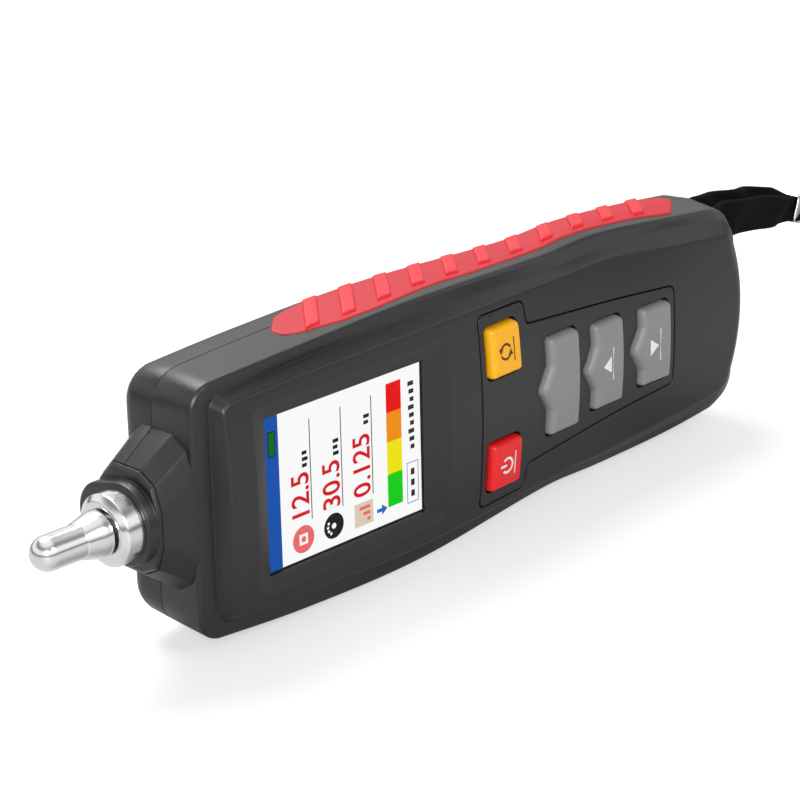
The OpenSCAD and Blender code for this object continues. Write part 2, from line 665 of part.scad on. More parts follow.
module keypad_membrane() {
    half = panel_half - pcb_boss_r;
    color([0.35, 0.36, 0.38]) difference() {
        along_y(pcb_y - membrane_t - fit_gap, pcb_y - fit_gap) offset(delta = -panel_gap)
            polygon([[panel_x0, -half], [panel_ear_x, -half], [panel_ear_x, -panel_end_half],
                [panel_x1, -panel_end_half], [panel_x1, panel_end_half], [panel_ear_x, panel_end_half],
                [panel_ear_x, half], [panel_x0, half]]);
        for (k = keys) post([k[0] + k[1] / 2, k[2]], 0, pcb_y + over, pill_r + key_gap);
    }
}

// Board, its components and its screws
chip_t = 1.4;
chip_h = 7;
cap_r = 2.5;
cap_l = 3.6;
plug_l = 5;
module main_pcb() {
    color([0.1, 0.35, 0.2]) difference() {
        slab(pcb_x0, pcb_x1, pcb_y, pcb_y + pcb_t, pcb_half);
        for (p = pcb_screws_at, s = [-1, 1])
            post([p[0], s * p[1]], pcb_y - over, pcb_y + pcb_t + over, pcb_hole_r);
    }
}
module pcb_parts() {
    y = pcb_y + pcb_t;
    color([0.12, 0.12, 0.13]) {
        slab(0.27 * body_l, 0.27 * body_l + chip_h, y, y + chip_t, chip_h / 2);
        box(0.36 * body_l, 0.36 * body_l + chip_h, y, y + chip_t, chip_h, 2 * chip_h);
        box(0.48 * body_l, 0.48 * body_l + chip_h, y, y + chip_t, -2 * chip_h, -chip_h);
        box(0.2 * body_l, 0.2 * body_l + chip_h, y, y + chip_t, -2 * chip_h, -chip_h);
        post([0.42 * body_l, -chip_h], y, y + cap_l, cap_r);
        post([0.55 * body_l, chip_h], y, y + cap_l, cap_r);
    }
    color([0.85, 0.83, 0.76])
        box(lead_plug_x, lead_plug_x + plug_l, y, y + 2 * chip_t, lead_plug_z - plug_l / 2,
            lead_plug_z + plug_l / 2);
}
module pcb_screws() {
    color([0.75, 0.75, 0.77]) for (p = pcb_screws_at, s = [-1, 1]) {
        post([p[0], s * p[1]], pcb_y - pcb_bite + fit_gap, pcb_y + pcb_t + fit_gap, pcb_screw_r);
        post([p[0], s * p[1]], pcb_y + pcb_t + fit_gap / 2, pcb_y + pcb_t + pcb_head_l, pcb_head_r);
    }
}
slot_w = 0.7;
module case_screws() {
    color([0.6, 0.6, 0.62]) for (p = case_screws_at, s = [-1, 1]) difference() {
        union() {
            post([p[0], s * p[1]], head_y - screw_l, head_y + fit_gap * 2, screw_r);
            post([p[0], s * p[1]], head_y + fit_gap * 2, head_y + head_l, head_r);
        }
        for (a = [0, 90]) translate([p[0], head_y + head_l, s * p[1]]) rotate([0, a, 0])
            cube([1.3 * head_r, head_l, slot_w], center = true);
    }
}

// Screen module
bezel_w = 0.35;
module lcd_panel() {
    color([0.9, 0.91, 0.92])
        slab(lcd_x0, lcd_x1, lcd_y, lcd_y + lcd_t, lcd_half);
}
module lcd_frame() {
    color([0.85, 0.85, 0.83]) difference() {
        slab(lcd_x0, lcd_x1, lcd_y + lcd_t + fit_gap, pcb_y - fit_gap, lcd_half);
        slab(lcd_x0 + wall, lcd_x1 - wall, lcd_y + lcd_t + wall / 2, pcb_y, lcd_half - wall);
    }
}
flex_t = 0.3;
flex_half = 11;
flex_out = 2.4;
module lcd_flex() {
    x = lcd_x1 + fit_gap;
    y0 = lcd_y + lcd_t / 2 + run_gap;
    y1 = pcb_y - fit_gap / 2;
    o = flex_out;
    t = flex_t;
    color([0.75, 0.5, 0.2]) translate([0, 0, -flex_half]) linear_extrude(2 * flex_half)
        polygon([[x, y0], [x + o - t, y0], [x + o, y0 + t], [x + o, y1 - t], [x + 2 * o, y1 - t],
            [x + 2 * o, y1], [x + o - t, y1], [x + o - t, y0 + t], [x, y0 + t]]);
}
module window_lens() {
    color([0.75, 0.8, 0.85])
        slab(opening_x0 - lens_over, opening_x1 + lens_over, lens_y + fit_gap, lens_y + lens_t,
            opening_half + lens_over);
}
module lens_gasket() {
    color([0.08, 0.08, 0.08]) difference() {
        slab(opening_x0 - lens_over, opening_x1 + lens_over, lens_y + lens_t, lcd_y,
            opening_half + lens_over);
        slab(opening_x0 + bezel_w, opening_x1 - bezel_w, 0, pcb_y, opening_half - bezel_w);
    }
}

// Sensor, turned about the axis of the probe, with heights running towards its tip
module sensor_housing() {
    i = -housing_in;
    color([0.8, 0.8, 0.82]) along_probe(0) difference() {
        rotate_extrude() polygon([[0, i], [housing_r, i], [housing_r, -wall - flange_l - flange_gap],
            [flange_r, -wall - flange_l - flange_gap], [flange_r, -wall - flange_gap],
            [housing_r, -wall - flange_gap], [housing_r, seal_at], [seal_in_r, seal_at],
            [seal_in_r, seal_at + seal_w], [housing_r, seal_at + seal_w],
            [housing_r, boss_end + fit_gap], [collar_r, boss_end + fit_gap], [collar_r, collar_end],
            [collar_face_r, collar_face], [0, collar_face]]);
        translate([0, 0, i - over]) cylinder(h = web_h + housing_in + over, r = stack_r);
        translate([0, 0, collar_face - stud_l]) cylinder(h = stud_l + over, r = stud_r);
        translate([0, 0, web_h - over]) cylinder(h = bolt_l + over, r = bolt_r);
    }
}
groove_l = 0.6;
groove_r = 3.6;
cone_end_r = 4.2;
ball_n = 8;
module probe_tip() {
    stud_end = collar_face - stud_l + run_gap;
    base = collar_face + groove_l;
    neck_end = base + cone_l;
    centre = neck_end + rod_l;
    color([0.86, 0.86, 0.88]) along_probe(0) rotate_extrude()
        polygon(concat([[0, stud_end], [stud_r - fit_gap, stud_end],
            [stud_r - fit_gap, collar_face + fit_gap], [groove_r, collar_face + fit_gap], [groove_r, base],
            [cone_r, base], [cone_end_r * rod_r / 4, neck_end], [rod_r, neck_end + fit_gap], [rod_r, centre]],
            [for (k = [1:ball_n - 1]) [rod_r * cos(90 * k / ball_n), centre + rod_r * sin(90 * k / ball_n)]],
            [[0, centre + rod_r]]));
}
module washer(from, to, out, in) {
    rotate_extrude() polygon([[in, from], [out, from], [out, to], [in, to]]);
}
disc_t = 1;
contact_t = 0.3;
mass_t = 5;
disc_r = 5;
mass_r = 5.2;
contact_r = 5.4;
bolt_hole_r = 1.4;
stack = [web_h - disc_t, web_h - disc_t - contact_t, web_h - 2 * disc_t - contact_t,
    web_h - 2 * disc_t - contact_t - mass_t];
module sensor_seal() {
    color([0.08, 0.08, 0.08]) along_probe(0)
        washer(seal_at + fit_gap, seal_at + seal_w - fit_gap, housing_r, seal_in_r + fit_gap);
}
module piezo_discs() {
    color([0.9, 0.85, 0.7]) along_probe(0) {
        washer(stack[0], web_h, disc_r, bolt_hole_r);
        washer(stack[2], stack[1], disc_r, bolt_hole_r);
    }
}
module piezo_contact() {
    color([0.8, 0.6, 0.3]) along_probe(0) washer(stack[1], stack[0], contact_r, bolt_hole_r);
}
module seismic_mass() {
    color([0.5, 0.5, 0.52]) along_probe(0) washer(stack[3], stack[2], mass_r, bolt_hole_r);
}
bolt_head_t = 2;
bolt_head_r = 2.6;
module sensor_bolt() {
    color([0.65, 0.65, 0.68]) along_probe(0) {
        translate([0, 0, stack[3] - bolt_head_t]) cylinder(h = bolt_head_t, r = bolt_head_r, $fn = 6);
        translate([0, 0, stack[3]]) cylinder(h = web_h + bolt_l - run_gap - stack[3], r = bolt_r - fit_gap);
    }
}
cap_t = 1.6;
lead_r = 0.6;
lead_hole_r = 0.8;
lead_z = 3.6;
module sensor_cap() {
    color([0.15, 0.15, 0.16]) along_probe(0) difference() {
        translate([0, 0, -housing_in - cap_t]) cylinder(h = cap_t - fit_gap, r = housing_r);
        translate([0, lead_z, 0]) translate([0, 0, -housing_in - cap_t - over])
            cylinder(h = cap_t + 2 * over, r = lead_hole_r);
    }
}
lead_plug_x = 19;
lead_plug_z = 0;
module sensor_lead() {
    y0 = sensor_y + lead_z;
    y1 = pcb_y + pcb_t + chip_t;
    x0 = housing_in + cap_t + run_gap;
    x1 = lead_plug_x - run_gap / 2;
    s = x1 - x0;
    route = [[-stack[3] + bolt_head_t / 2, y0, 0], [housing_in, y0, 0], [x0 + s / 4, y0, 0],
        [x0 + 0.45 * s, lerp(y0, y1, 0.25), 0], [x0 + 0.6 * s, lerp(y0, y1, 0.7), 0],
        [x0 + 0.8 * s, y1, 0], [x1, y1, 0]];
    color([0.1, 0.1, 0.1]) ring_solid([for (k = [0:len(route) - 1])
        let(a = route[max(0, k - 1)], b = route[min(len(route) - 1, k + 1)], d = (b - a) / norm(b - a))
        [for (q = [0:7]) route[k] + lead_r * [-d[1] * cos(45 * q), d[0] * cos(45 * q), sin(45 * q)]]]);
}

// Battery parts
module battery_cover() {
    color([0.23, 0.23, 0.24]) difference() {
        union() {
            slab(cover_x0, cover_x1, cover_y + fit_gap, body_depth, cover_half);
            both() box(cover_x0 - tab_l, bay_x0 - run_gap, cover_y - tab_t, cover_y, tab_z, tab_z + tab_w);
            both() box(cover_x0, bay_x0 - run_gap, cover_y - tab_t, cover_y + over / 2, tab_z, tab_z + tab_w);
            slab(cover_x1 - latch_l, cover_x1, cover_y - latch_deep, body_depth, latch_half);
        }
        for (k = [0:2]) slab(cover_x1 - wall * (2 + k), cover_x1 - wall * (1.5 + k),
            body_depth - cover_t / 3, body_depth + over, latch_half);
    }
}
nub_l = 1;
nub_r = 1.9;
module battery_cells() {
    for (k = [-1, 0, 1]) {
        turned_round = k == 0;
        x0 = bay_x0 + plate_t + (turned_round ? run_gap : spring_l + run_gap);
        body_x = turned_round ? x0 + nub_l : x0;
        color([0.75, 0.6, 0.25]) {
            translate([body_x, cell_y, k * cell_pitch]) rotate([0, 90, 0])
                cylinder(h = cell_l - nub_l, r = cell_d / 2);
            translate([x0, cell_y, k * cell_pitch]) rotate([0, 90, 0]) cylinder(h = cell_l, r = nub_r);
        }
    }
}
wire_r = 0.35;
coil_r = [2.2, 3.6];
coil_turns = 3;
coil_steps = 10;
module coil_spring(x, side) {
    n = coil_turns * coil_steps;
    span = spring_l - 2 * wire_r;
    translate([x, cell_y, 0]) ring_solid([for (k = [0:n])
        let(a = 360 * k / coil_steps, r = lerp(coil_r[0], coil_r[1], k / n),
            h = side * (wire_r + span * (1 - k / n)))
        [for (q = [0:5]) let(c = (r + wire_r * cos(60 * q)), o = wire_r * sin(60 * q))
            [h - o * side, c * cos(a), c * sin(a) * side]]]);
}
module battery_springs() {
    color([0.8, 0.8, 0.82]) {
        translate([0, 0, -cell_pitch]) coil_spring(bay_x0 + plate_t, 1);
        translate([0, 0, cell_pitch]) coil_spring(bay_x0 + plate_t, 1);
        coil_spring(bay_x1 - plate_t, -1);
    }
}
contact_half = 4.6;
module battery_plates() {
    y0 = cell_y - contact_half;
    y1 = cell_y + contact_half;
    h = contact_half;
    z = cell_pitch;
    color([0.78, 0.78, 0.8]) {
        box(bay_x0, bay_x0 + plate_t, y0, y1, -z - h, -z + h);
        box(bay_x0, bay_x0 + plate_t, y0, y1, -h, z + h);
        box(bay_x1 - plate_t, bay_x1, y0, y1, -z - h, h);
        box(bay_x1 - plate_t, bay_x1, y0, y1, z - h, z + h);
        for (s = [-1, 1]) box(tail_x(s), tail_x(s) + plate_t, pcb_y + pcb_t, y0, s * z - tail_w / 2,
            s * z + tail_w / 2);
    }
}

// Wrist strap: flat webbing swept along a route, whose rings have eight points
function unit(v) = v / norm(v);
function webbing(route, wides, ws, t) = [for (k = [0:len(route) - 1])
    let(a = route[max(0, k - 1)], b = route[min(len(route) - 1, k + 1)], d = unit(b - a),
        w = unit(wides[k] - d * (d * wides[k])), n = cross(d, w), h = ws[k] / 2, e = t / 2)
    [for (p = [[h, e / 2], [h - e, e], [e - h, e], [-h, e / 2], [-h, -e / 2], [e - h, -e], [h - e, -e],
        [h, -e / 2]]) route[k] + p[0] * w + p[1] * n]];
ferrule_x = 238;
ferrule_l = 5;
ferrule_y = 26;
ferrule_z = 10.6;
ferrule_wall = 0.5;
ferrule_corner = 0.5;
ferrule_pitch = 18;
strand_w = 6.2;
strand_gap = 0.1;
ferrule_at = [ferrule_x + ferrule_l / 2, ferrule_y, ferrule_z];
ferrule_u = [cos(ferrule_pitch), 0, -sin(ferrule_pitch)];
ferrule_v = [sin(ferrule_pitch), 0, cos(ferrule_pitch)];
strand_off = [0, (strap_t + strand_gap) / 2, 0];
// Both strands of the yoke: X, Y, Z and the width of the webbing at each point
yoke_rows = [[236.5, 25, 11.9, 6.4], [226, 24.6, 14.4, 6.8], [214, 24.2, 16.1, 7.3], [203, 23.9, 16.9, 7.7],
    [193, 23.6, 17.1, 8], [187, 23.6, 17.1, 8], [184, 23.9, 17.1, 8], [182.6, 24.9, 17.1, 8],
    [182.2, 26.4, 17.1, 8], [182.2, 28.4, 17.1, 8], [182.4, 30.1, 17.1, 8], [183.6, 31.1, 17.1, 8],
    [185.4, 31.4, 17.1, 8], [188.4, 31, 17.1, 8], [191.4, 29.9, 17.1, 8], [194.4, 28.6, 17.1, 8],
    [199, 27.8, 17, 8], [206, 27.5, 16.7, 7.7], [216, 27.4, 15.9, 7.3], [227, 27.2, 14.2, 6.8],
    [236.5, 27, 11.9, 6.4]];
module strap_yoke() {
    a = ferrule_at - strand_off;
    b = ferrule_at + strand_off;
    inner = ferrule_l / 2 - over;
    route = concat([a - fit_gap * ferrule_u, a - inner * ferrule_u], [for (r = yoke_rows) [r[0], r[1], r[2]]],
        [b - inner * ferrule_u, b - fit_gap * ferrule_u]);
    ws = concat([strand_w, strand_w], [for (r = yoke_rows) min(strap_w, r[3])], [strand_w, strand_w]);
    wides = [for (p = route) p[0] > ferrule_x ? ferrule_v : [0, 0, 1]];
    color([0.07, 0.07, 0.07]) ring_solid(webbing(route, wides, ws, strap_t));
}
module strap_ferrule() {
    c = ferrule_corner;
    inner = [2 * (strap_t + strand_gap + fit_gap - c), strand_w + 2 * (run_gap - c)];
    module outline(r) {
        offset(r = r, $fn = 24) square([inner[1], inner[0]], center = true);
    }
    color([0.78, 0.78, 0.8]) translate(ferrule_at) rotate([0, 90 + ferrule_pitch, 0])
        translate([0, 0, -ferrule_l / 2]) difference() {
            linear_extrude(ferrule_l) outline(c + ferrule_wall);
            translate([0, 0, -over]) linear_extrude(ferrule_l + 2 * over) outline(c);
        }
}
// The wrist loop: X, Y, height of its underside above the table, and how flat it lies
loop_rows = [[250, 25, 33.8, 0.1], [258, 24, 28, 0.3], [264, 22, 20.5, 0.6], [269, 18, 12, 0.85],
    [275, 13, 4.6, 1], [283, 6, 0.9, 1], [294, -2, 0.2, 1], [306, -9, 0.2, 1], [320, -13, 0.2, 1],
    [333, -11, 0.2, 1], [341, -1, 0.2, 1], [340, 12, 0.2, 1], [331, 22, 0.2, 1], [317, 28, 0.2, 1],
    [303, 31, 0.2, 1], [290, 33, 0.9, 1], [280, 33, 4.6, 1], [272, 32, 12, 0.85], [266, 30.5, 20.5, 0.6],
    [259, 29, 28, 0.3], [250.5, 27.4, 33.6, 0.1]];
module wrist_loop() {
    a = ferrule_at - strand_off;
    b = ferrule_at + strand_off;
    inner = ferrule_l / 2 - over;
    mids = [for (r = loop_rows) [r[0], r[1], r[2] + lerp(strap_w, strap_t, r[3]) / 2 - stand(r[0])]];
    route = concat([a + fit_gap * ferrule_u, a + inner * ferrule_u], mids,
        [b + inner * ferrule_u, b + fit_gap * ferrule_u]);
    n = len(route) - 1;
    flats = concat([0, 0], [for (r = loop_rows) r[3]], [0, 0]);
    wides = [for (k = [0:n]) let(d = route[min(n, k + 1)] - route[max(0, k - 1)], h = unit([-d[1], d[0], 0]))
        lerp(ferrule_v, h, flats[k])];
    ws = [for (k = [0:n]) k < 2 || k > n - 2 ? strand_w : strap_w];
    color([0.07, 0.07, 0.07]) ring_solid(webbing(route, wides, ws, strap_t));
}

// The whole meter stands on the flats of its lower ribs, with the origin below its middle
rest_pitch = atan(stand_tan);
rest_lift = stand(0) * cos(rest_pitch);
tip_centre = -(collar_face + groove_l + cone_l + rod_l);
x_mid = ((tip_centre + body_l) * cos(rest_pitch) - rod_r) / 2;
front_y = min(concat([for (p = flat(face_grid(0, 0))) p[1]],
    [for (k = keys) for (p = flat(key_rings(k))) p[1]]));
y_mid = (front_y + body_depth) / 2;
module place() {
    translate([-x_mid, -y_mid, rest_lift]) rotate([0, rest_pitch, 0]) children();
}

place() front_shell();
place() rear_shell();
place() grip_upper();
place() grip_lower();
place() keypad_panel();
place() key_enter();
place() key_power();
place() key_measure();
place() key_up();
place() key_down();
place() pill_enter();
place() pill_power();
place() pill_measure();
place() pill_up();
place() pill_down();
place() keypad_membrane();
place() main_pcb();
place() pcb_parts();
place() pcb_screws();
place() case_screws();
place() lcd_panel();
place() lcd_frame();
place() lcd_flex();
place() window_lens();
place() lens_gasket();
place() sensor_housing();
place() probe_tip();
place() sensor_seal();
place() piezo_discs();
place() piezo_contact();
place() seismic_mass();
place() sensor_bolt();
place() sensor_cap();
place() sensor_lead();
place() battery_cover();
place() battery_cells();
place() battery_springs();
place() battery_plates();
place() strap_yoke();
place() strap_ferrule();
place() wrist_loop();
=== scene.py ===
"""Handheld vibration meter: the moulded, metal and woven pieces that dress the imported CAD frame."""

import json
import logging
import math
from dataclasses import dataclass, field
from enum import Enum
from functools import cache
from typing import Callable, Sequence

import bmesh
import bpy
import numpy as np
from mathutils import Matrix, Vector
from mathutils.geometry import delaunay_2d_cdt


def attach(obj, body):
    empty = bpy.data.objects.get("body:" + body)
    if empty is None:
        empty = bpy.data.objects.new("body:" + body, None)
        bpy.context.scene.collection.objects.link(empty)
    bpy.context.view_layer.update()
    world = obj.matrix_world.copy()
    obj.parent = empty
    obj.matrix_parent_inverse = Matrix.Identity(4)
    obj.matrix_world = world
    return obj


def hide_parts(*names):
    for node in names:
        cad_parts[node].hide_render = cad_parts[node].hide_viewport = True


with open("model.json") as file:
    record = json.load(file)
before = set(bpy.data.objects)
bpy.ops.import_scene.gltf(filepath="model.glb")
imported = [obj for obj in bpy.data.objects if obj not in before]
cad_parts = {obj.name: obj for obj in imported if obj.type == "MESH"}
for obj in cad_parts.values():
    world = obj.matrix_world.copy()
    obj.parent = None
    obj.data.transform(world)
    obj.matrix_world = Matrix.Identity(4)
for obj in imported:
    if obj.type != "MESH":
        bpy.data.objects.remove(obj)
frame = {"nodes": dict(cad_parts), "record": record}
LOG = logging.getLogger("vibration_meter")
BODY = "meter"
PER_METRE = 1000  # Millimetres in a metre
TINY = 1e-9  # Keeps a length from being divided by nothing
BOSS_POINTS = 96  # Points round the turned parts and the boss
DISC_POINTS = 40  # Points round the screw wells and the screen's discs
Array = np.ndarray


@dataclass(frozen=True)
class Rest:
    """How the meter lies: part millimetres are turned and lifted into the row frame's metres."""

    pitch_deg: float = 1.03893
    x_mid: float = 78.2868
    y_mid: float = 14.6333
    lift: float = 34.8143

    def place(self, points: Sequence) -> Array:
        """Turns part points into row-frame points.

        Args:
            points: One point or many, in part millimetres.

        Returns:
            An array of as many points, in metres.
        """
        p = np.asarray(points, float).reshape(-1, 3)
        c, s = math.cos(math.radians(self.pitch_deg)), math.sin(math.radians(self.pitch_deg))
        return np.stack([p[:, 0] * c + p[:, 2] * s - self.x_mid, p[:, 1] - self.y_mid,
                         -p[:, 0] * s + p[:, 2] * c + self.lift], 1) / PER_METRE

    def turn(self, direction: Sequence) -> Vector:
        """Turns a part direction into a row-frame direction."""
        return Vector(self.place(direction)[0] - self.place((0, 0, 0))[0])


REST = Rest()


# Finishes

def linear(colour: str) -> tuple[float, float, float, float]:
    """Turns an sRGB hex colour into linear light.

    Args:
        colour: Six hex digits after a hash sign.

    Returns:
        Red, green, blue and an opaque alpha.
    """
    parts = [int(colour[i:i + 2], 16) / 255 for i in (1, 3, 5)]
    return (*[v / 12.92 if v <= 0.04045 else ((v + 0.055) / 1.055) ** 2.4 for v in parts], 1.0)


class Grain(Enum):
    """How a surface was made, which sets the relief that its shader draws."""

    MOULDED = "moulded"
    TURNED = "turned"
    WOVEN = "woven"
    CLEAR = "clear"
    LIT = "lit"
    PRINTED = "printed"


@dataclass(frozen=True)
class Finish:
    """One real material with its surface: colours in sRGB hex, lengths in millimetres."""

    # Real grit and lathe rings are finer than 0.1 mm, so grit_mm is as coarse as it needs to show
    name: str
    colour: str
    second: str
    roughness: float
    grain: Grain = Grain.MOULDED
    metallic: float = 0.0
    ior: float = 1.5
    grit_mm: float = 0.45
    relief_mm: float = 0.02
    patch_mm: float = 18.0
    rough_spread: float = 0.05
    edge_mm: float = 0.0


# ABS, spark-eroded mould: fine matt grit that breaks the highlight, edges a little worn
ABS = Finish("moulded_abs_spark", "#1b1b1c", "#212122", 0.35, grit_mm=0.6, relief_mm=0.03,
             ior=1.54, edge_mm=0.35)
# ABS from a smoother tool on the keypad plate: same tone, a touch more gloss
ABS_FINE = Finish("moulded_abs_fine", "#1d1d1e", "#222223", 0.32, grit_mm=0.6, relief_mm=0.015,
                  ior=1.54, edge_mm=0.3)
# TPE overmould with a matt tool surface: chalky, softened red
TPE_MATT = Finish("overmoulded_tpe_matt", "#bb1523", "#c61d2b", 0.55, grit_mm=0.6)
# TPE on the polished rib tops: a touch glossier, and a lighter, more saturated red that is a painted
# highlight on the raised ribs
TPE_RIB_PAINTED_HIGHLIGHT = Finish("overmoulded_tpe_rib_painted_highlight", "#da1225", "#e31b2d", 0.42, grit_mm=0.8, relief_mm=0.006,
                 ior=1.52)
# Keys: dyed ABS under a satin coat, colour even, soft highlight
KEY_ORANGE = Finish("key_abs_orange", "#ffb000", "#ffba05", 0.36, grit_mm=0.7, relief_mm=0.004,
                    ior=1.54)
KEY_RED = Finish("key_abs_red", "#ea141c", "#f21c22", 0.36, grit_mm=0.7, relief_mm=0.004, ior=1.54)
KEY_GREY = Finish("key_abs_grey", "#868687", "#8e8e8f", 0.42, grit_mm=0.7, relief_mm=0.006,
                  ior=1.54)
# Pad-printed ink: opaque white and dark brown, slightly duller than the key
INK_WHITE = Finish("pad_ink_white", "#f2f2f0", "#ebebe8", 0.5, Grain.PRINTED)
INK_BROWN = Finish("pad_ink_brown", "#4a2a0a", "#53300d", 0.5, Grain.PRINTED)
# Turned stainless steel, polished: fine rings from the lathe, crisp reflections
STEEL = Finish("turned_stainless", "#f0f0f0", "#e6e6e8", 0.17, Grain.TURNED, 1.0, grit_mm=0.5,
               relief_mm=0.0012, patch_mm=9.0)
# Plain turned steel of screws and springs: the same rings, less polish
STEEL_DULL = Finish("turned_stainless_dull", "#c9c9cc", "#bdbdc1", 0.24, Grain.TURNED, 1.0,
                    grit_mm=0.6, relief_mm=0.002, patch_mm=9.0)
# Pressed bright aluminium: the strap's crimp, softly streaked
ALUMINIUM = Finish("pressed_aluminium", "#d0d0d3", "#c2c2c6", 0.22, Grain.TURNED, 1.0, grit_mm=0.8,
                   relief_mm=0.002)
# Woven nylon webbing: ribs of doubled yarn, about 0.9 mm apart, that swallow the light
NYLON = Finish("woven_nylon", "#030303", "#070707", 0.95, Grain.WOVEN, grit_mm=0.9, relief_mm=0.16)
# Acrylic window with a coat against glare: it hardly mirrors, so the picture keeps its colours
ACRYLIC = Finish("coated_acrylic", "#0c0c0d", "#0c0c0d", 0.03, Grain.CLEAR, ior=1.49)
# Closed-cell foam, cut from sheet: matt and dark, with open pores
DARK_FOAM = Finish("closed_foam", "#101011", "#18181a", 0.9, grit_mm=0.7, relief_mm=0.05)

WINDOW_COVER = 0.07  # How much of the picture the coated window hides
LIT_STRENGTH = 1.1  # Brightness of the backlit cells
WEAVE_SHADE = (0.004, 0.004, 0.0045, 1)  # Linear light between the yarns
BAND_RATE = 0.314  # Scale at which a band texture repeats once in a unit
WARP_RATE = 0.25  # The same for the warp, whose yarns lie a quarter further apart


def feed(tree: bpy.types.NodeTree, node: bpy.types.Node, wires: dict) -> None:
    """Feeds the inputs of a shader node.

    Args:
        tree: The node tree that it is in.
        node: The node.
        wires: Per input name or index, the socket that feeds it or its plain value.
    """
    for key, value in wires.items():
        if isinstance(value, bpy.types.NodeSocket):
            tree.links.new(value, node.inputs[key])
        else:
            node.inputs[key].default_value = value


def add_node(tree: bpy.types.NodeTree, kind: str, wires: dict | None = None,
             **settings: object) -> bpy.types.Node:
    """Adds a shader node with its settings, values and links.

    Args:
        tree: The node tree that it goes into.
        kind: Blender's name of the node's type.
        wires: Per input name or index, the socket that feeds it or its plain value.
        **settings: Properties of the node itself.

    Returns:
        The new node.
    """
    made = tree.nodes.new(kind)
    for key, value in settings.items():
        setattr(made, key, value)
    feed(tree, made, wires or {})
    return made


def surface(tree: bpy.types.NodeTree, finish: Finish) -> dict:
    """Draws the colour patches, gloss and relief of a moulded, turned, woven or printed face.

    Args:
        tree: The material's node tree.
        finish: The finish to draw.

    Returns:
        What feeds the inputs of the material's main shader.
    """
    place = add_node(tree, "ShaderNodeTexCoord").outputs["Object"]
    patch, grit = (add_node(tree, "ShaderNodeTexNoise", {
        "Vector": place, "Scale": PER_METRE / size, "Detail": detail, "Roughness": rough,
    }).outputs["Fac"] for size, detail, rough in ((finish.patch_mm, 3.0, 0.6),
                                                  (finish.grit_mm, 2.0, 0.55)))
    tones = {0: patch, 6: linear(finish.colour), 7: linear(finish.second)}
    tone = add_node(tree, "ShaderNodeMix", tones, data_type="RGBA").outputs[2]
    wires, height, turns = {}, grit, PER_METRE / finish.grit_mm
    if finish.grain is Grain.WOVEN:
        # Yarns shade each other, so the cloth mirrors less than a smooth face
        wires["Specular IOR Level"] = 0.15
        flat = add_node(tree, "ShaderNodeUVMap", uv_map="cloth").outputs["UV"]
        yarns = [add_node(tree, "ShaderNodeTexWave", {
            "Vector": flat, "Scale": turns * rate, "Distortion": stray, "Detail Scale": 2.0,
        }, wave_type="BANDS", bands_direction=way).outputs["Fac"]
            for way, rate, stray in (("X", BAND_RATE, 0.4), ("Y", WARP_RATE, 0.3))]
        height = add_node(tree, "ShaderNodeMath", dict(enumerate(yarns)),
                          operation="MULTIPLY").outputs[0]
        tone = add_node(tree, "ShaderNodeMix", {0: height, 6: WEAVE_SHADE, 7: tone},
                        data_type="RGBA").outputs[2]
    elif finish.grain is Grain.TURNED:
        height = add_node(tree, "ShaderNodeTexWave", {
            "Vector": place, "Scale": turns * BAND_RATE, "Distortion": 0.6, "Detail": 2.0,
        }, wave_type="BANDS", bands_direction="X").outputs["Fac"]
    rough = add_node(tree, "ShaderNodeMapRange", {
        "Value": patch, "To Min": finish.roughness - finish.rough_spread,
        "To Max": finish.roughness + finish.rough_spread}).outputs["Result"]
    relief = {"Height": height, "Strength": 1.0, "Distance": finish.relief_mm / PER_METRE}
    if finish.edge_mm:
        worn = add_node(tree, "ShaderNodeBevel", {"Radius": finish.edge_mm / PER_METRE}, samples=4)
        relief["Normal"] = worn.outputs["Normal"]
    bump = add_node(tree, "ShaderNodeBump", relief).outputs["Normal"]
    return wires | {"Base Color": tone, "Roughness": rough, "Normal": bump}


@cache
def material(finish: Finish) -> bpy.types.Material:
    """Builds a finish's shader, once for each finish.

    Args:
        finish: The finish to draw.

    Returns:
        Its Blender material.
    """
    made = bpy.data.materials.new(finish.name)
    made.use_nodes = True
    tree = made.node_tree
    # Metal keeps the shader's own index of refraction
    wires = {"Metallic": finish.metallic} if finish.metallic else {"IOR": finish.ior}
    if finish.grain is Grain.CLEAR:
        wires |= {"Base Color": linear(finish.colour), "Roughness": finish.roughness,
                  "Alpha": WINDOW_COVER}
    elif finish.grain is Grain.LIT:
        # A backlit cell shows its own colour, and its face reflects almost nothing
        wires |= {"Base Color": (0.01, 0.01, 0.01, 1), "Roughness": finish.roughness,
                  "Specular IOR Level": 0.0, "Emission Color": linear(finish.colour),
                  "Emission Strength": LIT_STRENGTH}
    else:
        wires |= surface(tree, finish)
    feed(tree, tree.nodes["Principled BSDF"], wires)
    return made


# Flat outlines

def unit(rows: Array) -> Array:
    """Brings every row to a length of one."""
    return rows / np.maximum(np.linalg.norm(rows, axis=1, keepdims=True), TINY)


def corners(x0: float, x1: float, z0: float, z1: float) -> Array:
    """The corners of an upright rectangle, in turn."""
    return np.array([(x0, z0), (x1, z0), (x1, z1), (x0, z1)], float)


def circle(x: float, z: float, r: float, count: int) -> Array:
    """Points round a circle."""
    a = np.linspace(0, 2 * math.pi, count, endpoint=False)
    return np.stack([x + r * np.cos(a), z + r * np.sin(a)], 1)


def arc(x: float, z: float, r: float, a0: float, a1: float, w: float = 0.6) -> Array:
    """Draws a curved stroke as a closed outline.

    Args:
        x: Middle of the curve.
        z: Middle of the curve.
        r: Its radius.
        a0: First angle, in degrees.
        a1: Last angle.
        w: Width of the stroke.

    Returns:
        The outline's points.
    """
    a = np.radians(np.linspace(a0, a1, 20))
    way = np.stack([np.cos(a), np.sin(a)], 1)
    return np.concatenate([(x, z) + (r + w / 2) * way, (x, z) + (r - w / 2) * way[::-1]])


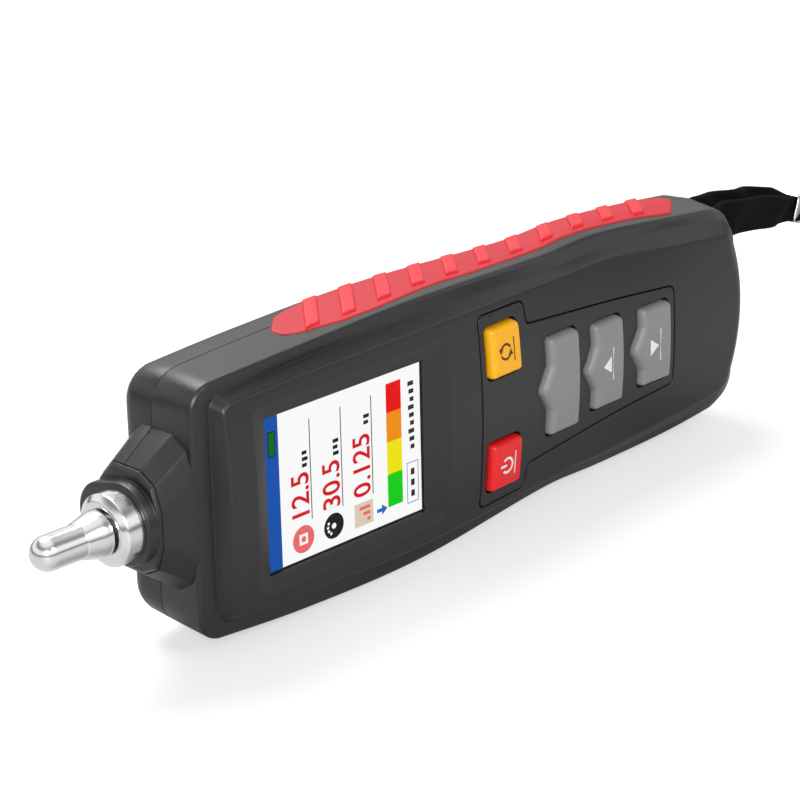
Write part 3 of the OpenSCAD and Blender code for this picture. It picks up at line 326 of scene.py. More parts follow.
def rounded(points: Sequence, radii: float | Sequence, steps: int = 6,
            edge: float = 0.0) -> Array:
    """Rounds the corners of a closed outline with arcs.

    Args:
        points: Points in turn, (x, z) in millimetres.
        radii: One radius, or one for each corner.
        steps: Pieces in each arc.
        edge: Longest straight piece, or 0 for no further points.

    Returns:
        The rounded outline's points.
    """
    p = np.asarray(points, float)
    n = len(p)
    r = np.full(n, radii, float) if np.isscalar(radii) else np.asarray(radii, float)
    out: list[Array] = []
    for i in range(n):
        a, b, c = p[i - 1], p[i], p[(i + 1) % n]
        to_a, to_c = np.linalg.norm(a - b), np.linalg.norm(c - b)
        u, v = (a - b) / to_a, (c - b) / to_c
        half = math.acos(float(np.clip(u @ v, -1, 1))) / 2
        # An arc takes less than half of each side, so that neighbours never meet
        t = min(r[i] / math.tan(half), 0.48 * to_a, 0.48 * to_c)
        bis = (u + v) / max(np.linalg.norm(u + v), TINY)
        centre = b + bis * t / math.cos(half)
        s, e = b + u * t - centre, b + v * t - centre
        turn = math.atan2(s[0] * e[1] - s[1] * e[0], s @ e)
        for w in turn * np.arange(steps + 1) / steps:
            out.append(centre + np.array([s[0] * math.cos(w) - s[1] * math.sin(w),
                                          s[0] * math.sin(w) + s[1] * math.cos(w)]))
    if edge:
        full: list[Array] = []
        for i, a in enumerate(out):
            b = out[(i + 1) % len(out)]
            k = max(1, math.ceil(np.linalg.norm(b - a) / edge))
            full += [a + (b - a) * j / k for j in range(k)]
        out = full
    return np.array(out)


def offset(outline: Array, distance: float) -> Array:
    """Moves a closed outline sideways.

    Args:
        outline: Points in turn.
        distance: Millimetres, outwards where positive.

    Returns:
        The moved points, one for each.
    """
    nxt, prv = np.roll(outline, -1, 0), np.roll(outline, 1, 0)
    area = np.sum(outline[:, 0] * nxt[:, 1] - nxt[:, 0] * outline[:, 1])
    a, b = unit(outline - prv), unit(nxt - outline)
    t = unit(a + b)
    spread = np.maximum(np.sum(a * t, 1, keepdims=True), 0.5)
    normal = np.stack([t[:, 1], -t[:, 0]], 1) * (1 if area > 0 else -1)
    return outline + normal * distance / spread


def soften(rings: Sequence[Array], cuts: Sequence[float], steps: int = 4) -> list[Array]:
    """Rounds a stack of rings where the profile turns.

    Args:
        rings: Rings of equal count, in order along the profile.
        cuts: Per ring, how far from it the rounding starts; 0 keeps it sharp.
        steps: Pieces in each rounding.

    Returns:
        The finer stack of rings.
    """
    out = [rings[0]]
    for a, b, c, cut in zip(rings, rings[1:], rings[2:], cuts[1:]):
        if not cut:
            out.append(b)
            continue
        la, lc = (np.maximum(np.linalg.norm(o - b, axis=1, keepdims=True), 1e-6) for o in (a, c))
        t = np.minimum(cut, np.minimum(0.45 * la, 0.45 * lc))
        p, q = b + (a - b) / la * t, b + (c - b) / lc * t
        out += [(1 - s) ** 2 * p + 2 * s * (1 - s) * b + s * s * q
                for s in np.linspace(0, 1, steps + 1)]
    out.append(rings[-1])
    return out


def inside(points: Array, outline: Array) -> Array:
    """Tells which points lie inside a closed outline.

    Args:
        points: Rows of (x, z).
        outline: Points in turn.

    Returns:
        True or False for each point.
    """
    x, z = points[:, 0], points[:, 1]
    hit = np.zeros(len(points), bool)
    for a, b in zip(outline, np.roll(outline, -1, 0)):
        crosses = (a[1] > z) != (b[1] > z)
        with np.errstate(divide="ignore", invalid="ignore"):
            hit ^= crosses & (x < (b[0] - a[0]) * (z - a[1]) / (b[1] - a[1]) + a[0])
    return hit


def at_depth(outline: Array, y: float) -> Array:
    """Lays an (x, z) outline at one depth."""
    return np.stack([outline[:, 0], np.full(len(outline), y), outline[:, 1]], 1)


def at_x(outline: Array, x: float) -> Array:
    """Stands a (y, z) outline up at one place along the meter."""
    return np.stack([np.full(len(outline), x), outline[:, 0], outline[:, 1]], 1)


def level(y: float) -> Callable:
    """A flat surface: the same depth for every x and z."""
    return lambda x, z: np.full(len(x), y)


# Meshes

def placed(name: str, data: bpy.types.ID) -> bpy.types.Object:
    """Makes an object and puts it into the scene.

    Args:
        name: Its name.
        data: Its mesh, lamp or camera.

    Returns:
        The object.
    """
    made = bpy.data.objects.new(name, data)
    bpy.context.scene.collection.objects.link(made)
    return made


class Piece:
    """Collects the points and faces of one visible piece, in part millimetres."""

    def __init__(self, name: str, slot: str, body: str = BODY) -> None:
        """Starts an empty piece.

        Args:
            name: Its name.
            slot: The record's material slot.
            body: The body that it rides on.
        """
        self.name, self.slot, self.body = name, slot, body
        self.points: list[Array] = []
        self.faces: list[tuple] = []
        self.skins: list[int] = []
        self.flat: list[Array] = []
        self.count = 0

    def add(self, points: Array, faces: Sequence, skin: int = 0, flat: Array | None = None) -> None:
        """Adds points and the faces between them.

        Args:
            points: Part millimetres.
            faces: Tuples of indices into points.
            skin: Which of the piece's finishes they take.
            flat: Cloth coordinates, one for each point.
        """
        self.points.append(points)
        self.faces += [tuple(int(i) + self.count for i in f) for f in faces]
        self.skins += [skin] * len(faces)
        self.flat.append(np.zeros((len(points), 2)) if flat is None else flat)
        self.count += len(points)

    def loft(self, rings: Sequence[Array], closed: bool = True, skin: int = 0,
             flat: Array | None = None) -> None:
        """Joins rings of equal count with quads.

        Args:
            rings: Rings in order.
            closed: Whether each ring's last point joins its first.
            skin: Which finish.
            flat: Cloth coordinates in the order of the rings' points.
        """
        n = len(rings[0])
        faces = [(k * n + i, k * n + (i + 1) % n, (k + 1) * n + (i + 1) % n, (k + 1) * n + i)
                 for k in range(len(rings) - 1) for i in range(n if closed else n - 1)]
        self.add(np.concatenate(rings), faces, skin, flat)

    def disc(self, ring: Array, skin: int = 0) -> None:
        """Closes a ring with one flat face."""
        self.add(ring, [tuple(range(len(ring)))], skin)

    def sheet(self, outer: Array, holes: Sequence[Array], lift: Callable, step: float) -> None:
        """Fills an outline, less its holes, with a curved surface.

        Args:
            outer: Outline in (x, z).
            holes: Outlines of the holes.
            lift: Gives the depth for arrays x and z.
            step: Spacing of the inner points.
        """
        lo, hi = outer.min(0), outer.max(0)
        xs, zs = np.arange(lo[0], hi[0], step), np.arange(lo[1], hi[1], step * 0.87)
        grid = np.array([(x + (step / 2 if k % 2 else 0), z) for k, z in enumerate(zs) for x in xs])

        def within(points: Array, margin: float) -> Array:
            """Tells which points lie on the sheet.

            Args:
                points: Rows of (x, z).
                margin: How far off the edges they must be.

            Returns:
                True or False for each point.
            """
            ok = inside(points, offset(outer, -margin))
            for hole in holes:
                ok &= ~inside(points, offset(hole, margin))
            return ok
        loops = [outer, *holes]
        starts = np.cumsum([0] + [len(o) for o in loops])
        points = np.concatenate([*loops, grid[within(grid, 0.45 * step)]])
        edges = [(s + i, s + (i + 1) % len(o)) for s, o in zip(starts, loops)
                 for i in range(len(o))]
        v, _, f, *_ = delaunay_2d_cdt([Vector(p) for p in points], edges, [], 0, 1e-5)
        v = np.array([tuple(p) for p in v])
        middle = np.array([v[list(t)].mean(0) for t in f])
        faces = [t for t, good in zip(f, within(middle, 0.0)) if good]
        self.add(np.stack([v[:, 0], lift(v[:, 0], v[:, 1]), v[:, 1]], 1), faces)

    def sink(self, wall: Array, lead: float, soft: float, lay: Callable, drop: float) -> Array:
        """Turns a surface softly into a wall that goes down from it.

        Args:
            wall: The wall's outline in (x, z).
            lead: How far from the wall the surface stops, outwards where positive.
            soft: How far from the edge its rounding starts.
            lay: Lays an outline on the surface, raised by a height.
            drop: Height of the wall.

        Returns:
            The outline where the surface stops.
        """
        rim = offset(wall, lead)
        self.loft(soften([lay(rim), lay(wall), lay(wall, -drop)], [0, soft, 0]))
        return rim

    def lathe(self, rows: Sequence, centre_y: float) -> None:
        """Turns a profile about the probe's axis.

        Args:
            rows: Distance in front of the end wall, radius and rounding, in order.
            centre_y: Depth of the axis.
        """
        self.loft(soften([at_x(circle(centre_y, 0, r, BOSS_POINTS), -h) for h, r, _ in rows],
                         [cut for _, _, cut in rows]))

    def build(self, finishes: Sequence[Finish], nodes: Sequence[str] = (), sharp_deg: float = 32,
              edit: Callable | None = None) -> bpy.types.Object:
        """Makes the Blender object, dresses it and lets it ride.

        Args:
            finishes: One for each skin.
            nodes: CAD nodes that it stands for.
            sharp_deg: Edges that turn more than this stay crisp.
            edit: A last change of its bmesh, still in part millimetres.

        Returns:
            The object.
        """
        mesh = bpy.data.meshes.new(self.name)
        flat = np.concatenate(self.flat)
        mesh.from_pydata([tuple(p) for p in np.concatenate(self.points)], [], self.faces)
        mesh.polygons.foreach_set("material_index", self.skins)
        if np.any(flat):
            layer = mesh.uv_layers.new(name="cloth")
            index = np.zeros(len(mesh.loops), np.int32)
            mesh.loops.foreach_get("vertex_index", index)
            layer.data.foreach_set("uv", flat[index].astype(np.float32).ravel())
        work = bmesh.new()
        work.from_mesh(mesh)
        bmesh.ops.remove_doubles(work, verts=work.verts, dist=0.002)
        bmesh.ops.dissolve_degenerate(work, edges=work.edges, dist=1e-4)
        if edit:
            edit(work)
        loose = [v for v in work.verts if not v.link_faces]
        bmesh.ops.delete(work, geom=loose, context="VERTS")
        bmesh.ops.recalc_face_normals(work, faces=work.faces)
        for v, p in zip(work.verts, REST.place([tuple(v.co) for v in work.verts])):
            v.co = p
        work.to_mesh(mesh)
        work.free()
        mesh.shade_smooth()
        mesh.set_sharp_from_angle(angle=math.radians(sharp_deg))
        for f in finishes:
            mesh.materials.append(material(f))
        made = placed(self.name, mesh)
        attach(made, self.body)
        if nodes:
            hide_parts(*nodes)
        LOG.info("%s: %d faces", self.name, len(mesh.polygons))
        return made


# The housing

class NeckPart(Enum):
    """Which part of the neck an outline goes round."""

    FRONT = "front"
    REAR = "rear"
    WHOLE = "whole"


@dataclass
class Housing:
    """The two moulded shells, as tables along the meter's length.

    The tables from places to flare are read by along: widths in millimetres, depths as parts of
    the whole depth, and rim, slope and flare as parts of their full widths. Pairs of radii and
    gaps are for the probe end and the strap end.
    """

    length: float = 193.0
    depth: float = 29.8
    parting: float = 18.0
    seam: float = 0.1
    back_r: float = 5.5
    end_bulge: float = 3.2
    end_rim: float = 5.2
    sensor_y: float = 15.5
    rim_w: float = 3.5
    slope_w: float = 2.1
    flare_w: float = 1.2
    draft: float = 0.5
    places: tuple = (0, 0.16, 0.36, 0.62, 0.72, 0.86, 1)
    half: tuple = (31.7 * 0.945, 31.7, 32.6, 30.4, 30.8, 29.0, 26.3)
    crease: tuple = (0.168, 0.141, 0.178, 0.315, 0.336, 0.282, 0.275)
    foot: tuple = (0.168, 0.168, 0.174, 0.272, 0.282, 0.262, 0.205)
    edge: tuple = (0.067, 0.055, 0.058, 0.18, 0.215, 0.17, 0.155)
    crown: tuple = (0.012, 0, 0.008, 0.08, 0.11, 0.12, 0.148)
    rim: tuple = (1, 1, 1.03, 0.94, 0.91, 0.71, 0.69)
    slope: tuple = (0.8, 0.9, 1.1, 0.6, 1, 1.85, 2.1)
    flare: tuple = (0, 0.08, 0.15, 0.45, 0.6, 0.9, 1)
    face_gap: tuple = (1.5, 4.6)
    foot_gap: float = 1.6
    face_r: tuple = (2.4, 4.9)
    foot_r: tuple = (3.6, 7.9)
    crease_r: tuple = (6.2, 9.5)
    side_r: tuple = (8.0, 9.5)
    turned_in: float = 1.6
    window: tuple = (14.1, 75.4, 22.3)  # Start, end and half width at the face
    opening: tuple = (18.6, 68.4, 18.78)  # The same at the floor of the recess
    window_floor: tuple = (2.2, 3.28)  # Depths of the opening's edge and of the glass
    seat_gap: float = 0.42
    seat_drop: float = 1.7
    side_low: float = 21.9
    cover: tuple = (115.3, 169.2, 17.9)  # Start, end and half width
    cover_gap: float = 0.16
    cover_drop: float = 1.78
    cover_under: float = 28.06
    groove_half: float = 5.0
    groove_drop: float = 0.6
    bay: tuple = (118.0, 166.5, 16.5)  # Start, end and half width
    bay_floor: float = 16.85
    slot_box: tuple = (179.8, 183.7, 21.9, 25.4, 12.6, 21.6)  # From and to in x, y and z
    slot_skin: float = 1.2
    screws: tuple = ((11.5, 22.3), (176.0, 19.0))  # Place and distance from the middle
    screw_r: float = 3.0
    screw_drop: float = 2.8
    neck_back: float = 25.6
    neck_cut: float = 4.0
    neck_gap: float = 0.07
    neck_spine: float = 0.168
    neck_drop: float = 1.3
    # Place, half widths of the front edge and of the sides, and how far the front edge drops
    neck_rows: tuple = ((1.0, 9.5, 18.4, 0.0), (0.0, 9.5, 18.4, 0.0), (-5.51, 4.82, 14.37, 0.6),
                        (-8.3, 4.3, 12.3, 0.9))
    # The end plate's sections: place, half width of the sides and drop
    plate_rows: tuple = ((-7.6, 11.9, 0.3), (-8.25, 11.9, 0.3), (-8.4, 12.1, 0.05),
                         (-9.5, 11.2, 0.15), (-9.5, 9.2, 1.6))
    plate_mid: float = 15.4
    plate_squash: float = 0.86
    boss: tuple = (9.6, 21.75, 8.0, 7.8)  # Radius, depth and radius of its foot, and its hole's
    boss_x: tuple = (-9.0, -12.25)  # Where it starts and ends

    def along(self, values: Sequence, x: Array, size: float = 1.0) -> Array:
        """Reads a smooth curve through a table.

        Args:
            values: One for each place.
            x: Where, in millimetres.
            size: What a value of 1 stands for.

        Returns:
            The curve at x.
        """
        k, v = np.array(self.places) * self.length, np.array(values, float) * size
        s = np.gradient(v)
        s[1:-1] = (v[2:] - v[:-2]) / (k[2:] - k[:-2])
        s[0], s[-1] = (v[1] - v[0]) / (k[1] - k[0]), (v[-1] - v[-2]) / (k[-1] - k[-2])
        x = np.asarray(x, float)
        i = np.clip(np.searchsorted(k, x, side="right") - 1, 0, len(k) - 2)
        h = k[i + 1] - k[i]
        u = (x - k[i]) / h
        return (v[i] * (2 * u ** 3 - 3 * u ** 2 + 1) + v[i + 1] * (3 * u ** 2 - 2 * u ** 3)
                + h * (s[i] * (u ** 3 - 2 * u ** 2 + u) + s[i + 1] * (u ** 3 - u ** 2)))

    def foot_half(self, x: Array) -> Array:
        """Half width at the foot of the face's slope."""
        return self.along(self.half, x) - self.along(self.rim, x, self.rim_w)

    def face_half(self, x: Array) -> Array:
        """Half width of the raised face."""
        return self.foot_half(x) - self.along(self.slope, x, self.slope_w)

    def face_y(self, x: Array, z: Array) -> Array:
        """Depth of the crowned face."""
        crown, edge = self.along(self.crown, x, self.depth), self.along(self.edge, x, self.depth)
        return crown + (edge - crown) * (np.asarray(z) / self.face_half(x)) ** 2

    def fillet(self, y: float) -> float:
        """How far the rounding of the back takes the side in."""
        d = max(0.0, y - (self.depth - self.back_r))
        return self.back_r - math.sqrt(max(0.0, self.back_r ** 2 - d ** 2))

    def side_half(self, x: Array, y: Array) -> Array:
        """Half width of the side wall at a depth.

        Args:
            x: Where along the meter.
            y: The depth.

        Returns:
            The half width at each x.
        """
        crease = self.along(self.crease, x, self.depth)
        rise = np.minimum(1, (y - crease) / (self.parting - crease))
        low = self.depth - self.back_r - self.parting
        return (self.along(self.half, x) + self.along(self.flare, x, self.flare_w) * rise
                - self.draft * np.maximum(0, (y - self.parting) / low))

    def ring(self, half: Callable, deep: Callable, x0: float, x1: float, r0: float,
             r1: float) -> Array:
        """Goes round the housing once at a level.

        Args:
            half: Half width at x.
            deep: Depth for arrays x and z.
            x0: Probe end.
            x1: Strap end, before its bulge.
            r0: Corner radius at the probe end.
            r1: Corner radius at the strap end.

        Returns:
            The ring's points.
        """
        corner, straight, across = 9, 78, 25
        a = np.linspace(0, math.pi / 2, corner)
        run = np.linspace(x0 + r0, x1 - r1, straight)
        xs = np.concatenate([x0 + r0 * (1 - np.cos(a[:-1])), run, x1 - r1 * (1 - np.sin(a[1:]))])
        hs = np.concatenate([half(x0 + r0) - r0 * (1 - np.sin(a[:-1])), half(run),
                             half(x1 - r1) - r1 * (1 - np.cos(a[1:]))])
        u = np.linspace(-1, 1, across)
        front = np.stack([np.full(across, x0), hs[0] * u], 1)
        bulge = x1 + self.end_bulge * (1 - u[::-1] ** 2)
        back = np.stack([bulge, hs[-1] * u[::-1]], 1)
        flat = np.concatenate([front, np.stack([xs, hs], 1)[1:], back[1:],
                               np.stack([xs, -hs], 1)[-2:0:-1]])
        return at_depth(flat, deep(flat[:, 0], flat[:, 1]))

    def face_ring(self, inset: float) -> Array:
        """The edge of the raised face, taken in by an inset."""
        end = self.length - self.end_bulge - self.face_gap[1]
        return self.ring(lambda x: self.face_half(x) - inset, self.face_y,
                         self.end_rim + self.face_gap[0] + inset, end - inset, *self.face_r)

    def foot_ring(self) -> Array:
        """Where the face's slope meets the rim."""
        end = self.length - self.end_bulge - self.foot_gap
        return self.ring(self.foot_half, lambda x, z: self.along(self.foot, x, self.depth),
                         self.end_rim, end, *self.foot_r)

    def crease_ring(self, drop: float, inset: float) -> Array:
        """The outer edge of the rim, lowered by a drop and taken in by an inset."""
        end = self.length - self.end_bulge
        return self.ring(lambda x: self.along(self.half, x) - inset,
                         lambda x, z: self.along(self.crease, x, self.depth) + drop, inset,
                         end - inset, *(r - inset for r in self.crease_r))

    def level_ring(self, y: float, inset: float = 0.0) -> Array:
        """The side wall at one depth, taken in by an inset."""
        f, end = self.fillet(y) + inset, self.length - self.end_bulge
        return self.ring(lambda x: self.side_half(x, y) - f, level(y), f, end - f,
                         max(self.side_r[0] - f, 1.0), max(self.side_r[1] - f, 1.5))

    def on_face(self, outline: Array, proud: float = 0.0) -> Array:
        """Lays an (x, z) outline on the face, raised by proud."""
        return at_depth(outline, self.face_y(outline[:, 0], outline[:, 1]) - proud)

    def on_back(self, outline: Array, proud: float = 0.0) -> Array:
        """Lays an (x, z) outline on the flat back, raised by proud."""
        return at_depth(outline, self.depth + proud)

    def window_outline(self) -> tuple[Array, Array]:
        """The screen recess at the face and at its floor, point for point.

        Returns:
            The outer and the inner outline.
        """
        arc_steps, side_steps = 8, 18

        def dense(o: Array) -> Array:
            """Divides the four straight sides of a rounded outline.

            Args:
                o: The outline.

            Returns:
                Its finer points.
            """
            out = []
            for i, p in enumerate(o):
                k = 1 if (i + 1) % (arc_steps + 1) else side_steps
                out += [p + (o[(i + 1) % len(o)] - p) * j / k for j in range(k)]
            return np.array(out)
        return tuple(dense(rounded(corners(a, b, -h, h), r, arc_steps))
                     for (a, b, h), r in ((self.window, 3.0), (self.opening, 0.5)))

    def build_front(self) -> None:
        """Makes the front shell: rim, slopes, crowned face, screen recess and keypad seat."""
        p = Piece("front_housing", "front_abs")
        y, inset = self.parting - self.seam / 2, self.turned_in
        rings = [self.face_ring(inset), self.face_ring(0), self.foot_ring(),
                 self.crease_ring(0, 0.7), self.crease_ring(0.7, 0), self.level_ring(y),
                 self.level_ring(y, inset)]
        p.loft(soften(rings, [0, 0.8, 0.14, 0.28, 0.4, 0.18, 0]))
        outer, inner = self.window_outline()
        lead = offset(outer, 0.9)
        p.loft(soften([self.on_face(lead), self.on_face(outer),
                       *(at_depth(inner, deep) for deep in self.window_floor)], [0, 0.9, 0.25, 0]))
        seat = Keypad().outline(self.seat_gap)
        rim = p.sink(seat, 0.4, 0.18, self.on_face, self.seat_drop)
        p.sheet(self.face_ring(inset)[:, [0, 2]], [lead, rim], self.face_y, 1.6)
        p.loft([self.on_face(o, -self.seat_drop) for o in (seat, offset(seat, -1.2))])
        p.build([ABS], ["front_shell"])

    def neck_outline(self, part: NeckPart, spine: float, half: float, y: float) -> Array:
        """Goes round the neck, or round one of its halves.

        Args:
            part: Which part.
            spine: Half width of the front edge.
            half: Half width between the sides.
            y: Depth of the front edge.

        Returns:
            The rounded (y, z) outline.
        """
        back, c = self.neck_back, self.neck_cut
        heel = [(back - c, half), (back, half - c), (back, c - half), (back - c, -half)]
        heel_r, cut_r = [1.2] * 4, [0.15] * 2
        cut = self.parting + self.neck_gap * (1 if part is NeckPart.REAR else -1)
        if part is NeckPart.REAR:
            return rounded([(cut, -half), (cut, half), *heel], cut_r + heel_r, 4)
        if part is NeckPart.FRONT:
            heel, heel_r = [(cut, half), (cut, -half)], cut_r
        side = [(y, spine), (y + c / 2, spine + 0.7 * (half - spine)), (y + 1.6 * c, half)]
        other = [(a, -b) for a, b in side]
        return rounded([other[0], *side, *heel, *other[:0:-1]],
                       [0.7, 0.7, 0.9, 1.6, *heel_r, 1.6, 0.9], 4)

    def build_neck(self) -> None:
        """Makes the neck's two halves, its end plate and the round boss."""
        spine = self.neck_spine * self.depth
        for name, part, slot, node in (
                ("neck_front", NeckPart.FRONT, "front_abs", "front_shell"),
                ("neck_rear", NeckPart.REAR, "rear_abs", "rear_shell")):
            p = Piece(name, slot)
            p.loft(soften([at_x(self.neck_outline(part, s, h, spine + self.neck_drop * d), x)
                           for x, s, h, d in self.neck_rows], [0, 0.3, 1.2, 0]))
            p.build([ABS], [node])
        p = Piece("neck_plate", "front_abs")
        _, s, _, d = self.neck_rows[-1]
        spine += self.neck_drop * d
        rings = [at_x(self.neck_outline(NeckPart.WHOLE, s, h, spine + d), x)
                 for x, h, d in self.plate_rows]
        mid = self.plate_mid
        rings[-1][:, 1] = (rings[-1][:, 1] - mid) * self.plate_squash + mid
        p.loft(soften(rings, [0, 0.1, 0.25, 0.45, 0]))
        p.disc(rings[-1])
        r, low_y, low_r, hole_r = self.boss
        x0, x1 = self.boss_x
        top, bottom = circle(self.sensor_y, 0, r, BOSS_POINTS), circle(low_y, 0, low_r, BOSS_POINTS)
        lean = (r - low_r) / (low_y - self.sensor_y)
        hull = np.where((top[:, :1] - self.sensor_y) / r > lean, bottom, top)
        middle = (self.sensor_y, 0)
        rings = [at_x(middle + (hull - middle) * k, x) for x, k in ((x0, 1), (x1, 1), (x1, 0.8))]
        hole = at_x(circle(*middle, hole_r, BOSS_POINTS), x1)
        p.loft(soften([*rings, hole], [0, 0.7, 0, 0]))
        p.build([ABS], ["front_shell"])

    def build_rear(self) -> None:
        """Makes the rear shell: side wall, rounded back, bay, screw wells and strap slot."""
        p = Piece("rear_housing", "rear_abs")
        y, low = self.parting + self.seam / 2, self.depth - self.back_r
        rings = soften([self.level_ring(y, self.turned_in), self.level_ring(y),
                        self.level_ring(self.side_low), self.level_ring(low)], [0, 0.18, 0, 0])
        rings += [self.level_ring(low + self.back_r * math.sin(k * math.pi / 20))
                  for k in range(1, 11)]
        p.loft(rings)
        (x0, x1, h), g = self.cover, self.cover_gap
        seat = rounded(corners(x0 - g, x1 + g, -h - g, h + g), 1.0, 5, 6)
        holes = [p.sink(seat, 0.35, 0.2, self.on_back, self.cover_drop)]
        b0, b1, h = self.bay
        bay = rounded(corners(b0, b1, -h, h), 1.0, 5, 6)
        p.sheet(seat, [bay], level(self.depth - self.cover_drop), 4)
        p.loft([self.on_back(bay, -self.cover_drop), at_depth(bay, self.bay_floor)])
        p.sheet(bay, [], level(self.bay_floor), 8)
        for x, z in self.screws:
            for s in (-1, 1):
                well = circle(x, s * z, self.screw_r, DISC_POINTS)
                holes.append(p.sink(well, 0.3, 0.2, self.on_back, self.screw_drop))
                p.disc(self.on_back(well, -self.screw_drop))
        s0, s1, y0, y1, z0, z1 = self.slot_box
        slot = rounded(corners(s0, s1, z0, z1 - self.slot_skin), 0.6, 4, 2)
        holes.append(p.sink(slot, 0.3, 0.25, self.on_back, self.depth - y0))
        p.disc(at_depth(slot, y0))
        p.sheet(self.level_ring(self.depth)[:, [0, 2]], holes, level(self.depth), 5)
        mouth = rounded(corners(y0, y1, z0, z1), 0.6, 4, 2)
        p.loft([at_x(mouth, x) for x in (self.length - 1, s1 - 0.5)])

        def centres(work: bmesh.types.BMesh) -> list[tuple[bmesh.types.BMFace, Vector]]:
            """Pairs every face with its middle."""
            return [(f, f.calc_center_median()) for f in work.faces]

        def open_slot(work: bmesh.types.BMesh) -> None:
            """Opens the end wall where the strap's slot comes out.

            Args:
                work: The rear shell's mesh, in part millimetres.
            """
            # Faces round the mouth start here, the wall behind it and the end's skin further on
            near_x, wall_x, end_x, slack = 182, 185, 191.2, 0.1
            low_y, high_y, low_z = 19, 28, 8
            for co, no in (((0, y0, 0), (0, 1, 0)), ((0, y1, 0), (0, 1, 0)),
                           ((0, 0, z0), (0, 0, 1)), ((0, 0, z1), (0, 0, 1))):
                near = [f for f, c in centres(work)
                        if c.x > near_x and low_y < c.y < high_y and c.z > low_z]
                geom = list({e for f in near for e in f.edges}) + near
                verts = list({v for f in near for v in f.verts})
                bmesh.ops.bisect_plane(work, geom=geom + verts, plane_co=co, plane_no=no)
            skin = [f for f, c in centres(work) if c.x > wall_x and y0 < c.y < y1
                    and z0 < c.z < z1 and abs(f.normal.y) < 0.6 and abs(f.normal.z) < 0.95]
            bmesh.ops.delete(work, geom=skin, context="FACES")
            rest = [f for f, c in centres(work) if c.x > end_x and abs(f.normal.x) < 0.2
                    and y0 - slack < c.y < y1 + slack and z0 - slack < c.z < z1 + slack]
            bmesh.ops.delete(work, geom=rest, context="FACES")
        p.build([ABS], ["rear_shell"], edit=open_slot)

    def build_cover(self) -> None:
        """Makes the battery cover with its three finger grooves."""
        p = Piece("battery_door", "cover_abs", "cover")
        (x0, x1, h), under = self.cover, self.cover_under
        edge = rounded(corners(x0, x1, -h, h), 0.9, 5, 6)
        inner, rim = offset(edge, -1), offset(edge, -0.5)
        p.loft(soften([at_depth(inner, under), at_depth(edge, under), self.on_back(edge),
                       self.on_back(rim)], [0, 0.1, 0.28, 0]))
        p.sheet(inner, [], level(under), 8)
        grooves = []
        for k in range(3):
            near, far = x1 - 2 * (2 + k), x1 - 2 * (1.5 + k)
            groove = rounded(corners(near, far, -self.groove_half, self.groove_half), 0.45, 5, 2)
            grooves.append(p.sink(groove, 0.2, 0.15, self.on_back, self.groove_drop))
            p.disc(self.on_back(groove, -self.groove_drop))
        p.sheet(rim, grooves, level(self.depth), 5)
        p.build([ABS_FINE], ["battery_cover"])


# Keypad

class Mark(Enum):
    """What is printed on a key."""

    TURN = "turn"
    POWER = "power"
    UP = "up"
    DOWN = "down"
    BARE = "bare"


@dataclass
class Key:
    """One key: its name, place, size, nose and mark, in part millimetres."""

    name: str
    finish: Finish
    slot: str
    mark: Mark
    x: float
    length: float
    z: float
    half: float
    base: float
    nose: float = 0.0
    nose_half: float = 5.6
    ink: Finish = INK_WHITE

    def outline(self, grow: float) -> Array:
        """The key's outline at its foot, grown all round.

        Args:
            grow: Millimetres, outwards where positive.

        Returns:
            The outline's points.
        """
        shape = corners(self.x, self.x + self.length, self.z - self.half, self.z + self.half)
        radii = [1.2] * 4
        if self.nose:
            tip = self.x - self.nose
            shape = [*shape, (self.x, self.z + self.nose_half), (tip, self.z + 0.6),
                     (tip, self.z - 0.6), (self.x, self.z - self.nose_half)]
            radii += [1.4, 0.7, 0.7, 1.4]
        return offset(rounded(shape, radii, 5, 0.8), grow)

    def marks(self) -> list[Array]:
        """Gives the printed marks of this key: bare arrows, arcs and a line.

        Returns:
            Closed outlines in (x, z).
        """
        x, z = self.x + 5.0, self.z
        near, far = (corners(x + a, x + a + 0.4, z - b, z + b) for a, b in ((2.7, 3.0), (1.1, 4.2)))
        return {
            Mark.TURN: [
                arc(x - 0.2, z, 1.8, 25, 155), arc(x - 0.2, z, 1.8, 205, 335),
                np.array([(x - 2.75, z + 1.1), (x - 0.95, z + 1.15), (x - 2.0, z - 0.5)]),
                np.array([(x + 2.35, z - 1.1), (x + 0.55, z - 1.15), (x + 1.6, z + 0.5)]), near],
            Mark.POWER: [arc(x, z, 1.85, -135, 135, 0.65),
                         corners(x - 2.5, x - 0.2, z - 0.32, z + 0.32), near],
            Mark.UP: [np.array([(x - 2.7, z), (x + 0.5, z - 2.2), (x + 0.5, z + 2.2)]), far],
            Mark.DOWN: [np.array([(x + 0.5, z), (x - 2.7, z + 2.2), (x - 2.7, z - 2.2)]), far],
            Mark.BARE: [],
        }[self.mark]


